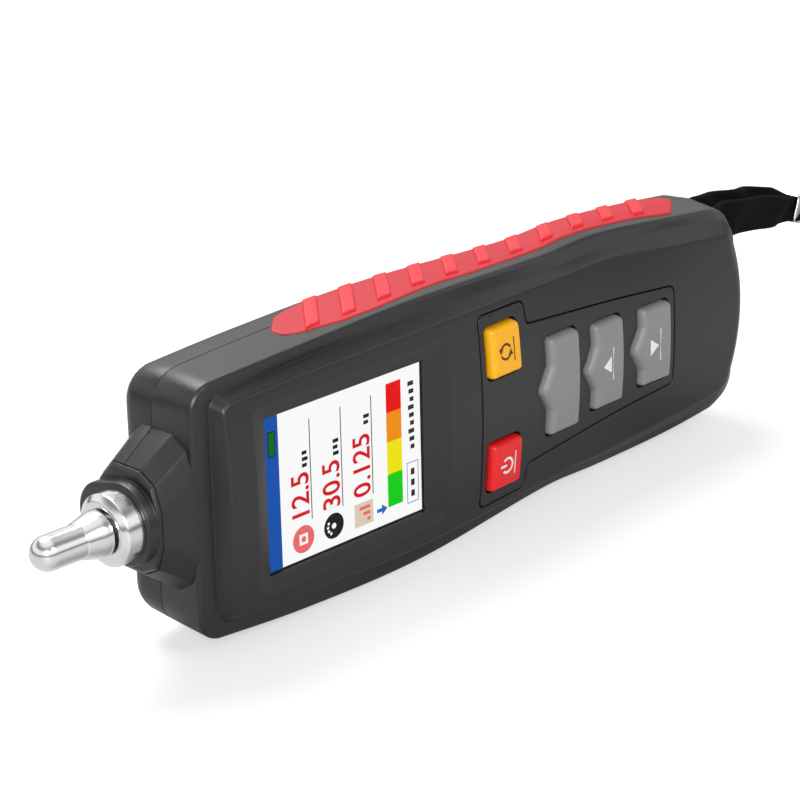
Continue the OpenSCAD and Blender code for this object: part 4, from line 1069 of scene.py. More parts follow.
@dataclass
class Keypad:
    """The keypad plate and its five keys."""

    proud: float = 1.8
    plate: float = 1.35
    key_gap: float = 0.6
    front_margin: float = 2.27
    ear_margin: float = 3.5
    waist_margin: float = 5.3
    end_margin: float = 2.7
    slant: float = 0.35
    ink: float = 0.03
    keys: list[Key] = field(default_factory=lambda: [
        Key("enter", KEY_ORANGE, "key_orange", Mark.TURN, 89.2, 11.0, 14.45, 6.15, 5.95,
            ink=INK_BROWN),
        Key("power", KEY_RED, "key_red", Mark.POWER, 89.2, 11.0, -14.45, 6.15, 5.95),
        Key("measure", KEY_GREY, "key_grey", Mark.BARE, 111.0, 11.1, 0, 12.5, 6.2, 3.1),
        Key("up", KEY_GREY, "key_grey", Mark.UP, 128.4, 11.1, 0, 11.1, 6.85, 3.1),
        Key("down", KEY_GREY, "key_grey", Mark.DOWN, 147.0, 11.1, 0, 10.2, 6.85, 3.1)])

    def outline(self, grow: float) -> Array:
        """The plate's outline: wide round the first two keys, then narrower.

        Args:
            grow: Millimetres added all round.

        Returns:
            The outline's points.
        """
        first, third, last = self.keys[0], self.keys[2], self.keys[4]
        ear = first.x + first.length + self.ear_margin
        wide = first.z + first.half + self.ear_margin
        side = [(first.x - self.front_margin, wide), (ear, wide - self.slant),
                (ear + self.slant, third.half + self.waist_margin),
                (last.x + last.length + self.end_margin, last.half + self.end_margin)]
        shape = [(x, -z) for x, z in side] + side[::-1]
        return offset(rounded(shape, 1.6, 6, 0.9), grow)

    def build(self, shell: Housing) -> None:
        """Makes the plate, the keys and their printed symbols.

        Args:
            shell: The housing whose face they follow.
        """
        p = Piece("keypad_plate", "panel_abs")
        rim = p.sink(self.outline(0.0), -0.45, 0.2, shell.on_face, self.plate)
        holes = [p.sink(key.outline(self.key_gap), 0.55, 0.38, shell.on_face, self.plate)
                 for key in self.keys]
        p.sheet(rim, holes, shell.face_y, 0.85)
        p.build([ABS_FINE], ["keypad_panel"])
        for key in self.keys:
            self.build_key(shell, key)

    def build_key(self, shell: Housing, key: Key) -> None:
        """Makes one key as a softly rounded cap with its printed marks.

        Args:
            shell: The housing.
            key: Which key.
        """
        body = "key_" + key.name
        p = Piece("cap_" + key.name, key.slot, body)
        foot = key.outline(0.0)

        def taken_in(amount: float) -> Array:
            """Takes the foot in, and further on the probe's side, which leans.

            Args:
                amount: Millimetres all round.

            Returns:
                The smaller outline.
            """
            moved = offset(foot, -amount)
            front = np.clip((moved - foot)[:, :1] / max(amount, TINY), 0, 1)
            return moved + np.array([0.75 * amount, 0]) * front ** 2
        rings = [at_depth(foot, key.base), shell.on_face(foot)]
        rings += [shell.on_face(taken_in(inset), self.proud - low)
                  for inset, low in ((0.22, 0.75), (0.85, 0), (1.3, 0))]
        p.loft(soften(rings, [0, 0.3, 0.45, 0.5, 0]))
        p.sheet(taken_in(1.3), [], lambda x, z: shell.face_y(x, z) - self.proud, 1.6)
        p.build([key.finish], [body])
        if key.mark is Mark.BARE:
            return
        p = Piece("print_" + key.name, key.slot, body)
        for mark in key.marks():
            p.sheet(mark, [], lambda x, z: shell.face_y(x, z) - self.proud - self.ink, 0.9)
        p.build([key.ink])


# Grips

@dataclass
class Grip:
    """A soft inlay in one long side, with its slanted ribs.

    The edges front and back are points of (part of the length, part of the depth).
    """

    side: int
    name: str
    node: str
    front: tuple = ((0.1746, 0.43), (0.178, 0.383), (0.192, 0.329), (0.22, 0.299), (0.252, 0.252),
                    (0.311, 0.252), (0.349, 0.279), (0.389, 0.315), (0.428, 0.342), (0.482, 0.352),
                    (0.544, 0.396), (0.625, 0.44), (0.669, 0.472), (0.741, 0.448), (0.816, 0.413),
                    (0.847, 0.37), (0.868, 0.352), (0.891, 0.46), (0.917, 0.611), (0.919, 0.63))
    back: tuple = ((0.1746, 0.523), (0.18, 0.567), (0.209, 0.742), (0.238, 0.803), (0.269, 0.83),
                   (0.35, 0.845), (0.518, 0.85), (0.777, 0.85), (0.881, 0.83), (0.913, 0.768),
                   (0.919, 0.68))
    proud: float = 0.3
    sunk: float = 0.4
    soft: float = 0.6
    ribs: int = 11
    rib_x: float = 43.0
    rib_y: float = 12.0
    rib_end: float = 24.0
    rib_h: float = 0.6
    rib_w: float = 3.4
    pitch: float = 11.4
    lean: float = 0.88
    stand_cut: float = 0.12

    def edge(self, table: Sequence, x: Array, shell: Housing) -> Array:
        """Reads the inlay's front or back edge at x."""
        t = np.array(table) * (shell.length, shell.depth)
        return np.interp(x, t[:, 0], t[:, 1])

    def top(self, shell: Housing, x: Array, y: Array, out: Array) -> Array:
        """Half width of the side at (x, y), raised by out."""
        fillet = np.array([shell.fillet(v) for v in y])
        return shell.side_half(x, y) - fillet + out

    def stand(self, shell: Housing, x: Array) -> Array:
        """The plane on which the lower ribs stand, as a half width.

        Args:
            shell: The housing.
            x: Where along the meter.

        Returns:
            The half width at each x.
        """
        def crest(v: float) -> float:
            """Half width over the rib tops."""
            return float(shell.along(shell.half, v) + shell.along(shell.flare, v, shell.flare_w)
                         + self.proud + self.rib_h)
        belly, hip = (shell.places[k] * shell.length for k in (2, 4))
        fall = (crest(belly) - crest(hip)) / (hip - belly)
        return crest(belly) - self.stand_cut - fall * (np.asarray(x) - belly)

    def build(self, shell: Housing) -> None:
        """Makes the inlay and its ribs.

        Args:
            shell: The housing that holds it.
        """
        p = Piece(self.name, "grip_tpe")
        x0, x1 = (self.front[k][0] * shell.length for k in (0, -1))
        ease = np.array([0, 0.08, 0.2, 0.38, 0.6, 0.9])
        xs = np.concatenate([x0 + ease, np.linspace(x0 + 1.4, x1 - 1.4, 150), (x1 - ease)[::-1]])
        rows = []
        for x in xs:
            a, b = (float(self.edge(table, x, shell)) for table in (self.front, self.back))
            ys = np.concatenate([a + ease, np.linspace(a + 1.3, b - 1.3, 14), (b - ease)[::-1]])
            d = np.minimum(np.minimum(ys - a, b - ys), min(x - x0, x1 - x))
            rise = np.sqrt(np.clip(1 - (1 - np.clip(d, 0, self.soft) / self.soft) ** 2, 0, 1))
            out = (self.proud + self.sunk) * rise - self.sunk
            here = np.full(len(ys), x)
            rows.append(np.stack([here, ys, self.side * self.top(shell, here, ys, out)], 1))
        p.loft(rows, closed=False)
        for k in range(self.ribs):
            self.rib(p, shell, self.rib_x + k * self.pitch)
        # The second finish is the same rubber painted a lighter red on the ribs, a painted highlight
        p.build([TPE_MATT, TPE_RIB_PAINTED_HIGHLIGHT], [self.node], sharp_deg=40)

    def rib(self, p: Piece, shell: Housing, x: float) -> None:
        """Adds one slanted rib to the inlay's piece.

        Args:
            p: The inlay.
            shell: The housing.
            x: Where the rib crosses the reference depth.
        """
        w = self.rib_w * math.hypot(1, self.lean) / 2
        start = float(self.edge(self.front, x + self.rib_w, shell)) + 1.9
        ys = np.concatenate([start + np.array([-0.001, 0, 0.12, 0.35, 0.7]),
                             np.linspace(start + 1.2, self.rib_end, 10),
                             self.rib_end + np.array([0.4, 0.8])])
        lift = np.concatenate([[-0.3, 0.0, 0.32, 0.52, 0.6], np.full(10, self.rib_h), [0.35, -0.1]])
        across = np.array([-1, -1, -0.97, -0.9, -0.8, -0.4, 0, 0.4, 0.8, 0.9, 0.97, 1, 1])
        round_off = np.array([-0.3, 0, 0.55, 0.88, 1, 1, 1, 1, 1, 0.88, 0.55, 0, -0.3])
        rings = []
        for y, high in zip(ys, lift):
            px, deep = x + self.lean * (y - self.rib_y) + across * w, np.full(len(across), y)
            raised = np.where(round_off < 0, round_off, high * round_off)
            half = np.minimum(self.top(shell, px, deep, self.proud + raised),
                              self.stand(shell, px))
            rings.append(np.stack([px, deep, self.side * half], 1))
        # Skin 1 is the ribs' lighter red, a painted highlight
        p.loft(rings, closed=False, skin=1)


# Sensor

@dataclass
class Sensor:
    """The turned metal parts at the front: collar, probe, cone and rod."""

    axis_y: float = 15.5
    collar_r: float = 8.3
    collar_end: float = 16.6
    face: float = 17.8
    cone_l: float = 6.1
    rod_l: float = 7.9
    rod_r: float = 4.0

    def build(self) -> None:
        """Makes the collar and the probe."""
        p = Piece("sensor_collar", "sensor_steel")
        p.lathe([(10.0, 7.4, 0), (12.0, 7.4, 0.1), (12.35, self.collar_r, 0.15),
                 (self.collar_end, self.collar_r, 0.25), (self.face, 6.9, 0.22),
                 (self.face, 3.7, 0.15), (self.face - 0.4, 3.7, 0)], self.axis_y)
        p.build([STEEL], ["sensor_housing"], sharp_deg=28)
        p = Piece("probe", "probe_steel")
        base, r = self.face + 0.6, self.rod_r
        neck = base + self.cone_l
        end = neck + self.rod_l
        ball = [(end + r * math.sin(t), r * math.cos(t), 0)
                for t in np.linspace(0.0, math.pi / 2, 22)[1:-1]]
        p.lathe([(self.face - 1, 3.6, 0), (base, 3.6, 0.1), (base, 5.4, 0.2),
                 (base + 1.7, 5.3, 0.5), (neck - 0.15, 4.22, 0.15), (neck, r, 0.2), (end, r, 0),
                 *ball, (end + r, 0.02, 0)], self.axis_y)
        p.build([STEEL], ["probe_tip"], sharp_deg=28)


# Screen

class Ink(Enum):
    """Colours that the lit display shows."""

    PAPER = "#fdfdfd"
    BLUE = "#0850ab"
    CELL = "#046a12"
    FIGURE = "#d60f1c"
    LINE = "#2c2c30"
    CORAL = "#ec6a6a"
    BLACK = "#17171a"
    BEIGE = "#dccdb6"
    HOT = "#ea0500"
    AMBER = "#f38f00"
    LEMON = "#f0e600"
    LIME = "#02d004"
    POINTER = "#2166b8"


@dataclass
class Screen:
    """The lit picture behind the window: a bar, three readings, round and square marks, a scale."""

    x0: float = 19.0
    length: float = 48.96
    half: float = 18.36
    y: float = 3.24
    layer: float = 0.03
    digits: float = 0.08
    digit_size: float = 7.6
    mask_y: float = 3.17

    def build(self) -> None:
        """Makes the picture as thin flat shapes, each a little in front of the last."""
        p = Piece("screen_picture", "lcd")
        inks = list(Ink)

        def shape(ink: Ink, points: Array, layer: int = 1) -> None:
            """Adds one flat shape, so many layers in front of the paper."""
            p.disc(at_depth(points + (self.x0, 0), self.y - self.layer * layer), inks.index(ink))

        def bar(ink: Ink, a: float, b: float, c: float, d: float, layer: int = 1) -> None:
            """Adds a bar from a to b along the meter and from c to d across it."""
            shape(ink, corners(a, b, c, d), layer)

        def disc(ink: Ink, a: float, c: float, r: float, layer: int = 1) -> None:
            """Adds a disc of radius r."""
            shape(ink, circle(a, c, r, DISC_POINTS), layer)
        bar(Ink.PAPER, 0, self.length, -self.half, self.half, 0)
        bar(Ink.BLUE, 0, 4.3, -self.half, self.half)
        bar(Ink.BLACK, 1.15, 3.35, 8.9, 14.9, 2)
        bar(Ink.CELL, 1.4, 3.1, 9.15, 14.65, 3)
        for x in (13.75, 23.4, 33.1):
            bar(Ink.LINE, x - 0.14, x + 0.14, -9.5, 14.6)
        # A disc with a square in it, a disc with a crescent of dots, and a plain stepped card
        disc(Ink.CORAL, 10.9, -13.6, 3.3)
        bar(Ink.PAPER, 9.6, 12.2, -14.9, -12.3, 2)
        disc(Ink.CORAL, 10.9, -13.6, 0.75, 3)
        disc(Ink.BLACK, 20.4, -13.4, 3.1)
        for t in np.radians([150, 180, 210, 240]):
            disc(Ink.PAPER, 20.4 + 1.9 * math.cos(t), -13.4 + 1.9 * math.sin(t), 0.36, 2)
        disc(Ink.PAPER, 20.4, -13.4, 0.7, 2)
        bar(Ink.BEIGE, 27.0, 33.0, -16.3, -10.6)
        for k, h in enumerate((1.0, 2.2, 3.4)):
            bar(Ink.CORAL, 32.0 - h, 32.0, -15.4 + 1.5 * k, -14.6 + 1.5 * k, 2)
        # The scale with its pointer, and an outlined box with three strokes
        cuts = (-14.5, -6.4, 1.6, 8.8, 15.9)
        for ink, a, b in zip((Ink.LIME, Ink.LEMON, Ink.AMBER, Ink.HOT), cuts, cuts[1:]):
            bar(ink, 37.9, 42.75, a, b)
        shape(Ink.POINTER, np.array([(34.2, -14.8), (35.8, -14.8), (35.8, -15.7), (37.6, -14.35),
                                     (35.8, -13.0), (35.8, -13.9), (34.2, -13.9)]))
        for place in ((44.3, 47.9, -15.6, -15.4), (44.3, 47.9, -5.6, -5.4),
                      (44.2, 44.4, -15.6, -5.4), (47.8, 48.0, -15.6, -5.4)):
            bar(Ink.POINTER, *place)
        for k in range(3):
            bar(Ink.LINE, 45.5, 46.7, -14.1 + 2.7 * k, -12.5 + 2.7 * k)
        # Rows of short strokes beside the readings and the scale
        for row, (x, z, count) in enumerate(((11.2, 3.6, 3), (20.8, 3.6, 3), (30.6, 8.2, 2))):
            for k in range(count):
                bar(Ink.BLACK, x, x + 1.5 + 0.3 * ((k + row) % 2), z + 1.5 * k, z + 0.9 + 1.5 * k)
        for k in range(9):
            bar(Ink.LINE, 45.6 - 0.3 * (k % 3), 46.9, -2.2 + 1.95 * k, -1.1 + 1.95 * k)
        for text, x in (("12.5", 12.9), ("30.5", 22.5), ("0.125", 32.2)):
            self.figure(p, text, self.x0 + x, -9.2, inks.index(Ink.FIGURE))
        # Backlit liquid-crystal cells: even light, each in its own colour
        p.build([Finish("lit_" + ink.name.lower(), ink.value, ink.value, 0.3, Grain.LIT)
                 for ink in inks])
        mask = Piece("screen_mask", "gasket")
        mask.loft([at_depth(rounded(corners(a, b, -h, h), r, 3), self.mask_y)
                   for a, b, h, r in ((18.5, 68.5, 18.9, 0.3),
                                      (self.x0, self.x0 + self.length, self.half, 0.05))])
        mask.build([DARK_FOAM])

    def figure(self, p: Piece, text: str, x: float, z: float, skin: int) -> None:
        """Adds a plain number that runs across the meter.

        Args:
            p: The picture.
            text: Digits and a point.
            x: Foot line of the digits.
            z: Where the number starts.
            skin: Which finish.
        """
        data = bpy.data.curves.new("figure", "FONT")
        data.body, data.size, data.resolution_u, data.offset = text, self.digit_size, 4, 0.11
        source = bpy.data.objects.new("figure", data)
        mesh = bpy.data.meshes.new_from_object(source)
        points = np.array([(x - v.co.y, z + v.co.x * 0.92) for v in mesh.vertices])
        p.add(at_depth(points, self.y - self.digits), [tuple(f.vertices) for f in mesh.polygons],
              skin)
        bpy.data.objects.remove(source)
        bpy.data.curves.remove(data)
        bpy.data.meshes.remove(mesh)


# Strap

def smooth_route(rows: Sequence, per: int = 5) -> Array:
    """Runs a smooth curve through route points.

    Args:
        rows: Points with any further values.
        per: New points for each stretch.

    Returns:
        The finer rows.
    """
    r = np.asarray(rows, float)
    e = np.concatenate([[2 * r[0] - r[1]], r, [2 * r[-1] - r[-2]]])
    out = []
    for a, b, c, d in zip(e, e[1:], e[2:], e[3:]):
        for t in np.arange(per) / per:
            out.append(0.5 * (2 * b + (c - a) * t + (2 * a - 5 * b + 4 * c - d) * t * t
                              + (3 * b - a - 3 * c + d) * t ** 3))
    return np.array([*out, r[-1]])


def run_of(path: Array) -> Array:
    """The distance along a path at each of its points."""
    return np.concatenate([[0], np.cumsum(np.linalg.norm(np.diff(path, axis=0), axis=1))])


@dataclass
class Strap:
    """The woven wrist strap: a doubled yoke through the slot, a crimp, and the loop.

    The yoke's routes are rows of x, y, z and width. The loop's are x, y, height over the table
    and how flat the webbing lies, from 0 to 1. The yoke is bunched between two x, over an ease.
    """

    width: float = 8.0
    thick: float = 1.8
    pressed: float = 6.2
    folds: float = 0.7
    bunched: tuple = (190.0, 238.0, 8.0)
    bunch_wide: float = 0.32
    bunch_shift: tuple = (0.5, 0.9)
    strand_gap: float = 0.95
    ferrule: tuple = (240.5, 26.0, 10.6)
    pitch_deg: float = 18.0
    lower: tuple = ((236.5, 25, 11.9, 6.4), (226, 24.6, 14.4, 6.8), (214, 24.2, 16.1, 7.3),
                    (203, 23.9, 16.9, 7.7), (193, 23.6, 17.1, 8), (187, 23.6, 17.1, 8),
                    (184, 23.9, 17.1, 8), (182.6, 24.9, 17.1, 8), (182.2, 26.4, 17.1, 8),
                    (182.2, 28.4, 17.1, 8))
    upper: tuple = ((182.2, 28.4, 17.1, 8), (182.4, 30.1, 17.1, 8), (183.6, 31.1, 17.1, 8),
                    (185.4, 31.4, 17.1, 8), (188.4, 31, 17.1, 8), (191.4, 29.9, 17.1, 8),
                    (194.4, 28.6, 17.1, 8), (199, 27.8, 17, 8), (206, 27.5, 16.7, 7.7),
                    (216, 27.4, 15.9, 7.3), (227, 27.2, 14.2, 6.8), (236.5, 27, 11.9, 6.4))
    loop: tuple = ((250, 25, 33.8, 0.1), (258, 24, 28, 0.3), (264, 22, 20.5, 0.6),
                   (269, 18, 12, 0.85), (275, 13, 4.6, 1), (283, 6, 0.9, 1), (294, -2, 0.2, 1),
                   (306, -9, 0.2, 1), (320, -13, 0.2, 1), (333, -11, 0.2, 1), (341, -1, 0.2, 1),
                   (340, 12, 0.2, 1), (331, 22, 0.2, 1), (317, 28, 0.2, 1), (303, 31, 0.2, 1),
                   (290, 33, 0.9, 1), (280, 33, 4.6, 1), (272, 32, 12, 0.85),
                   (266, 30.5, 20.5, 0.6), (259, 29, 28, 0.3), (250.5, 27.4, 33.6, 0.1))

    @property
    def along(self) -> Array:
        """Direction from the case to the loop in the crimp."""
        a = math.radians(self.pitch_deg)
        return np.array([math.cos(a), 0, -math.sin(a)])

    @property
    def across(self) -> Array:
        """Direction across the webbing in the crimp."""
        a = math.radians(self.pitch_deg)
        return np.array([math.sin(a), 0, math.cos(a)])

    def webbing(self, p: Piece, route: Array, wides: Array, widths: Array,
                folds: float = 0.0) -> None:
        """Sweeps flat webbing along a route.

        Args:
            p: The piece it goes into.
            route: Middle points.
            wides: Direction across the webbing at each point.
            widths: Width at each point.
            folds: Height of the creases in bunched webbing.
        """
        d = unit(np.gradient(route, axis=0))
        w = unit(wides - d * np.sum(d * wides, 1, keepdims=True))
        n = np.cross(d, w)
        t = self.thick / 2
        side = np.array([(1, 0.0), (0.985, 0.55), (0.93, 0.85), (0.8, 1), (0.5, 0.93), (0.25, 1),
                         (0, 0.93), (-0.25, 1), (-0.5, 0.93), (-0.8, 1), (-0.93, 0.85),
                         (-0.985, 0.55)])
        shape = np.concatenate([side, -side])
        u, v = shape.T
        run = run_of(route)
        size = shape * (self.width / 2, t)
        around = np.cumsum(np.linalg.norm(np.roll(size, -1, 0) - size, axis=1))
        rings, flat = [], []
        for k, at in enumerate(run):
            fold = folds * (0.5 * np.sin(at / 1.9 + 2.2 * u) + np.sin(at / 2.7 + 1.7 * u))
            rings.append(route[k] + np.outer(u * widths[k] / 2, w[k])
                         + np.outer(v * t + fold, n[k]))
            # The first millimetre keeps every cloth coordinate off zero
            flat.append(np.stack([np.full(len(u), at), around], 1) / PER_METRE + 0.001)
        p.loft(rings, flat=np.concatenate(flat))
        p.disc(rings[0])
        p.disc(rings[-1])

    def ends(self, sign: int, side: int) -> Array:
        """Two route points inside the crimp, on one of its strands.

        Args:
            sign: -1 towards the case, 1 towards the loop.
            side: -1 for the strand at the face's side, 1 for the other.

        Returns:
            The inner point, then the outer one.
        """
        mid = np.array(self.ferrule) + (0, side * self.strand_gap, 0)
        return np.array([mid + sign * far * self.along for far in (0.1, 1.5)])

    def build(self, grip: Grip, shell: Housing) -> None:
        """Makes the strap's pieces.

        Args:
            grip: A grip, whose ribs say where the table is.
            shell: The housing.
        """
        crimp = self.crimp()
        for name, rows, side in (("yoke_lower", self.lower, -1), ("yoke_upper", self.upper, 1)):
            fine = smooth_route(rows, 6)
            tail = np.column_stack([self.ends(-1, side), [self.pressed] * 2])
            fine = np.concatenate([tail, fine] if side < 0 else [fine, tail[::-1]])
            route, x = fine[:, :3], fine[:, 0]
            x0, x1, ease = self.bunched
            wides = np.where((x > x1)[:, None], self.across, (0.0, 0, 1))
            bunch = np.clip((x - x0) / ease, 0, 1) * np.clip((x1 - x) / ease, 0, 1)
            dy, dz = self.bunch_shift
            route = route + np.outer(bunch, (0, side * dy, side * dz))
            p = Piece(name, "webbing")
            self.webbing(p, route, wides, fine[:, 3] * (1 + self.bunch_wide * bunch),
                         self.folds)
            piece = p.build([NYLON], ["strap_yoke"], sharp_deg=60)
        self.build_loop(grip, shell)

    def build_loop(self, grip: Grip, shell: Housing) -> None:
        """Makes the hand loop, which goes from the crimp down to the table and back.

        Args:
            grip: A grip, whose ribs say where the table is.
            shell: The housing.
        """
        x, y, high, flats = np.array(self.loop, float).T
        z = high + (self.width + (self.thick - self.width) * flats) / 2 - grip.stand(shell, x)
        ends = [np.column_stack([self.ends(1, side), [0, 0], [self.pressed] * 2])
                for side in (-1, 1)]
        rows = np.column_stack([x, y, z, flats, np.full(len(x), self.width)])
        fine = smooth_route(np.concatenate([ends[0], rows, ends[1][::-1]]))
        route, f = fine[:, :3], np.clip(fine[:, 3:4], 0, 1)
        d = np.gradient(route, axis=0)
        level_wide = unit(np.stack([-d[:, 1], d[:, 0], 0 * d[:, 0]], 1))
        p = Piece("wrist_webbing", "webbing")
        self.webbing(p, route, self.across * (1 - f) + level_wide * f,
                     np.clip(fine[:, 4], self.pressed, self.width))
        piece = p.build([NYLON], ["wrist_loop"], sharp_deg=60)

    def crimp(self) -> bpy.types.Object:
        """Makes the pressed crimp as a rolled sleeve with turned-in lips.

        Returns:
            The object.
        """
        def ring(at: float, grow: float) -> Array:
            """Goes round the sleeve.

            Args:
                at: Distance from its middle.
                grow: How much wider than its bore.

            Returns:
                The ring's points.
            """
            w, h = 1.95 + grow, 3.25 + grow
            o = rounded(corners(-w, w, -h, h), 0.5 + grow, 6, 1)
            return (np.array(self.ferrule) + at * self.along + o[:, :1] * (0, 1, 0)
                    + o[:, 1:] * self.across)
        p = Piece("strap_crimp", "ferrule")
        half = [(-2.2, 0), (-2.5, 0.25), (-2.35, 0.5), (-0.5, 0.5), (-0.25, 0.3)]
        rings = [ring(*row) for row in [*half, *((-x, g) for x, g in half[::-1])]]
        p.loft([*rings, rings[0]])
        return p.build([ALUMINIUM], ["strap_ferrule"], sharp_deg=45)


# Carried-over nodes

def dress_nodes() -> None:
    """Gives every CAD node that stays its own finish."""
    by_slot = {
        # Rubber filled with carbon: matt black
        "pill": Finish("carbon_rubber", "#1b1b1c", "#232325", 0.7),
        # Moulded silicone mat: grey, softly matt
        "membrane": Finish("silicone_rubber", "#5c5f63", "#65686c", 0.6),
        # Glass-epoxy board under green resist: slightly glossy, faint weave
        "pcb": Finish("glass_epoxy_resist", "#1d5a34", "#23653c", 0.35, grit_mm=0.9),
        # Moulded epoxy of the chips: dark, nearly matt
        "chips": Finish("moulded_epoxy", "#1f1f21", "#28282a", 0.55),
        "screw_steel": STEEL_DULL,
        # Steel blackened in a hot bath: dark with a dull shine
        "screw_black": Finish("blackened_steel", "#4a4a4d", "#3f3f42", 0.35, Grain.TURNED, 1.0),
        # Display glass: pale and glossy
        "lcd": Finish("display_glass", "#d9dbdc", "#cfd2d4", 0.15),
        # White moulded holder: even, half matt
        "lcd_holder": Finish("white_moulding", "#d6d5d0", "#cdccc6", 0.5),
        # Polyimide film over copper: amber, smooth
        "flex": Finish("polyimide_film", "#b0782f", "#a46d27", 0.3),
        "lens": ACRYLIC,
        "gasket": DARK_FOAM,
        # Moulded nitrile ring: black, half matt
        "seal": Finish("nitrile_rubber", "#151516", "#1c1c1e", 0.55),
        # Fired ceramic discs: cream, dry
        "piezo": Finish("fired_ceramic", "#d8cba8", "#cfc19c", 0.6),
        # Stamped brass: warm and bright
        "contact_brass": Finish("stamped_brass", "#c79a4b", "#b98d42", 0.25, Grain.TURNED, 1.0),
        "mass_steel": STEEL_DULL,
        # Extruded PVC of the leads: black, softly glossy
        "lead": Finish("pvc_insulation", "#191919", "#202020", 0.45),
        # Shrink sleeve on the cells: glossy, copper-coloured
        "cells": Finish("shrink_sleeve", "#8a6a2c", "#7c5e25", 0.25, grit_mm=1.5),
        "spring_steel": STEEL_DULL,
        "contact_steel": STEEL_DULL,
        "sensor_steel": STEEL,
        "probe_steel": STEEL,
        "ferrule": ALUMINIUM,
        "webbing": NYLON,
        "grip_tpe": TPE_MATT,
    }
    slots = {s["node"]: s["material_slot"] for s in frame["record"]["subparts"]}
    for name, node in frame["nodes"].items():
        finish = by_slot.get(slots.get(name, ""), ABS)
        node.data.materials.clear()
        node.data.materials.append(material(finish))
        LOG.info("node %s: %s", name, finish.name)


# Studio

def unlit(tree: bpy.types.NodeTree) -> tuple[bpy.types.NodeSocket, bpy.types.NodeSocket]:
    """Tells the rays of the camera, also through clear parts, and those of mirrors.

    Args:
        tree: The node tree that asks.

    Returns:
        A socket that is 1 for each of the two kinds.
    """
    path = add_node(tree, "ShaderNodeLightPath").outputs
    seen = add_node(tree, "ShaderNodeMath", {0: path["Is Camera Ray"],
                                             1: path["Is Transmission Ray"]}, operation="MAXIMUM")
    return seen.outputs[0], path["Is Glossy Ray"]


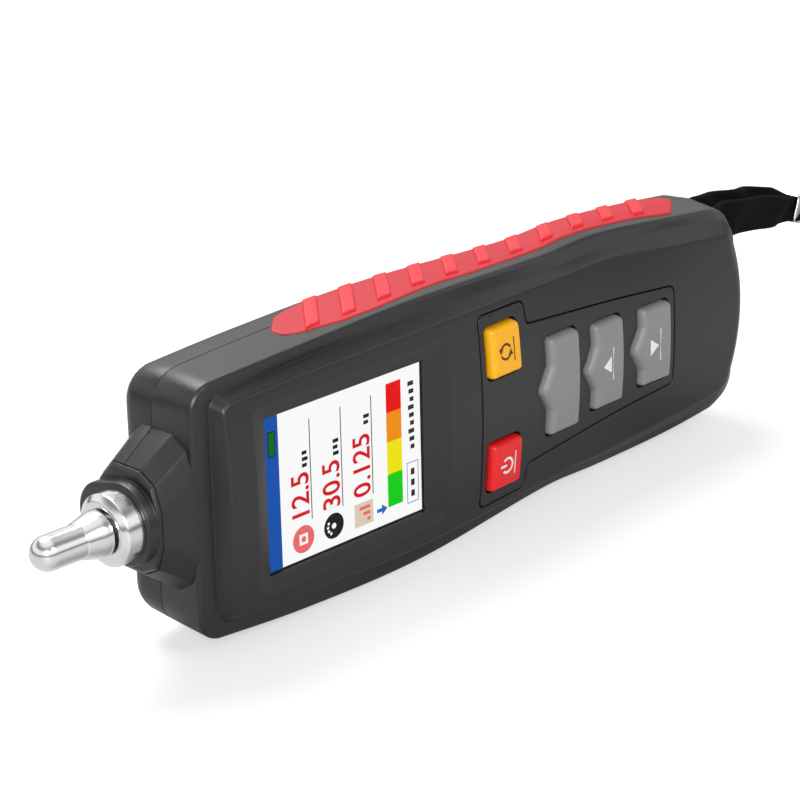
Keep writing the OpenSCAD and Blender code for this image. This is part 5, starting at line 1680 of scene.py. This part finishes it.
@dataclass
class Studio:
    """The camera of the photograph, a pale floor and soft light.

    Angles are in radians, and the camera's distance and target in part millimetres. Each band is
    a height in the world with its brightness. Each lamp has its name, place, target, size and
    watts.
    """

    azimuth: float = -0.785454251
    elevation: float = 0.362932829
    roll: float = -0.023210686
    distance: float = 636.83
    focal_px: float = 2782.4
    photo_px: float = 800
    sensor_mm: float = 36.0
    target: tuple = (61.288, 3.0, 10.91)
    ambient: float = 0.3
    bands: tuple = ((0.0, 0.1), (0.12, 0.25), (0.22, 1.15), (0.5, 1.2), (0.62, 0.15), (0.78, 0.3),
                    (0.9, 1.0))
    floor_size: float = 4.0
    floor_drop: float = 0.0002
    floor_glow: float = 0.54
    floor_mirrored: float = 0.05
    lamps: tuple = (("key_softbox", (0.12, 0.5, 0.9), (0, 0, 0.02), 0.7, 9.5),
                    ("front_fill", (-0.8, -0.8, 0.55), (-0.06, 0, 0.03), 0.4, 8.5),
                    ("right_fill", (0.1, -1.0, 0.75), (-0.03, 0, 0.03), 0.5, 2.6))

    def camera(self) -> None:
        """Makes the camera, at the place fitted to the photograph."""
        a, e, r = self.azimuth, self.elevation, self.roll
        back = np.array([math.sin(a) * math.cos(e), -math.cos(a) * math.cos(e), math.sin(e)])
        right = np.array([math.cos(a), math.sin(a), 0])
        up = np.cross(back, right)
        right, up = (math.cos(r) * right + math.sin(r) * up,
                     math.cos(r) * up - math.sin(r) * right)
        data = bpy.data.cameras.new("photo_camera")
        data.sensor_width = self.sensor_mm
        data.lens = self.sensor_mm * self.focal_px / self.photo_px
        data.clip_start, data.clip_end = 0.05, 20
        made = placed("photo_camera", data)
        place = REST.place(np.array(self.target) + back * self.distance)[0]
        axes = [REST.turn(v).normalized() for v in (right, up, back)]
        made.matrix_world = Matrix.Translation(Vector(place)) @ Matrix(axes).transposed().to_4x4()
        bpy.context.scene.camera = made

    def light(self, name: str, place: Sequence, target: Sequence, size: float,
              power: float) -> None:
        """Adds one soft lamp.

        Args:
            name: Its name.
            place: Where it stands, in metres.
            target: What it shines at.
            size: Width of the lamp.
            power: Watts.
        """
        data = bpy.data.lights.new(name, "AREA")
        data.size, data.energy, data.shape = size, power, "DISK"
        made = placed(name, data)
        made.location = place
        made.rotation_euler = (Vector(place) - Vector(target)).to_track_quat("Z", "Y").to_euler()

    def build(self) -> None:
        """Makes the floor, the world and the lamps."""
        bpy.context.scene.view_settings.view_transform = "Standard"
        self.floor()
        self.world()
        for lamp in self.lamps:
            self.light(*lamp)

    def floor(self) -> None:
        """Makes the pale sweep on which the meter stands."""
        mesh = bpy.data.meshes.new("floor")
        size = self.floor_size
        mesh.from_pydata([(x, y, -self.floor_drop) for x, y in corners(-size, size, -size, size)],
                         [], [(0, 1, 2, 3)])
        placed("floor", mesh)
        # Painted board: matt white, with a glow for the camera that stands for the light box
        paint = bpy.data.materials.new("matt_white_sweep")
        paint.use_nodes = True
        tree = paint.node_tree
        shader = tree.nodes["Principled BSDF"]
        feed(tree, shader, {"Base Color": linear("#c2c2c2"), "Roughness": 0.6})
        seen, mirrored = unlit(tree)
        shine = add_node(tree, "ShaderNodeMath", {0: mirrored, 1: self.floor_mirrored},
                         operation="MULTIPLY").outputs[0]
        power = add_node(tree, "ShaderNodeMath", {0: seen, 1: self.floor_glow, 2: shine},
                         operation="MULTIPLY_ADD").outputs[0]
        glow = add_node(tree, "ShaderNodeEmission", {"Color": (1, 1, 1, 1), "Strength": power})
        both = add_node(tree, "ShaderNodeAddShader", {0: shader.outputs["BSDF"],
                                                      1: glow.outputs["Emission"]})
        feed(tree, tree.nodes["Material Output"], {"Surface": both.outputs[0]})
        mesh.materials.append(paint)

    def world(self) -> None:
        """Makes the white surround that the camera, metal and glass see."""
        made = bpy.data.worlds.new("white_room")
        bpy.context.scene.world = made
        made.use_nodes = True
        tree = made.node_tree
        place = add_node(tree, "ShaderNodeTexCoord").outputs["Generated"]
        height = add_node(tree, "ShaderNodeSeparateXYZ", {0: place}).outputs["Z"]
        sky = add_node(tree, "ShaderNodeValToRGB", {"Fac": height})
        ramp = sky.color_ramp
        ramp.interpolation = "B_SPLINE"
        for at, bright in self.bands:
            stop = ramp.elements.new(at) if at else ramp.elements[0]
            stop.color = (bright, bright, bright, 1)
        seen, mirrored = unlit(tree)
        shine = add_node(tree, "ShaderNodeMix", {0: mirrored, 6: (self.ambient,) * 3 + (1,),
                                                 7: sky.outputs["Color"]}, data_type="RGBA")
        power = add_node(tree, "ShaderNodeMix", {0: seen, 6: shine.outputs[2],
                                                 7: (1, 1, 1, 1)}, data_type="RGBA")
        feed(tree, tree.nodes["Background"], {"Color": power.outputs[2]})


def main() -> None:
    """Builds the studio and the meter's pieces in order."""
    logging.basicConfig(level=logging.INFO, format="%(name)s %(message)s")
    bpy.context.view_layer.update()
    studio = Studio()
    studio.camera()
    dress_nodes()
    shell = Housing()
    upper = Grip(1, "grip_inlay_upper", "grip_upper")
    Strap().build(upper, shell)
    shell.build_front()
    shell.build_neck()
    shell.build_rear()
    shell.build_cover()
    Keypad().build(shell)
    upper.build(shell)
    Grip(-1, "grip_inlay_lower", "grip_lower").build(shell)
    Sensor().build()
    Screen().build()
    studio.build()


if __name__ == "__main__":
    main()
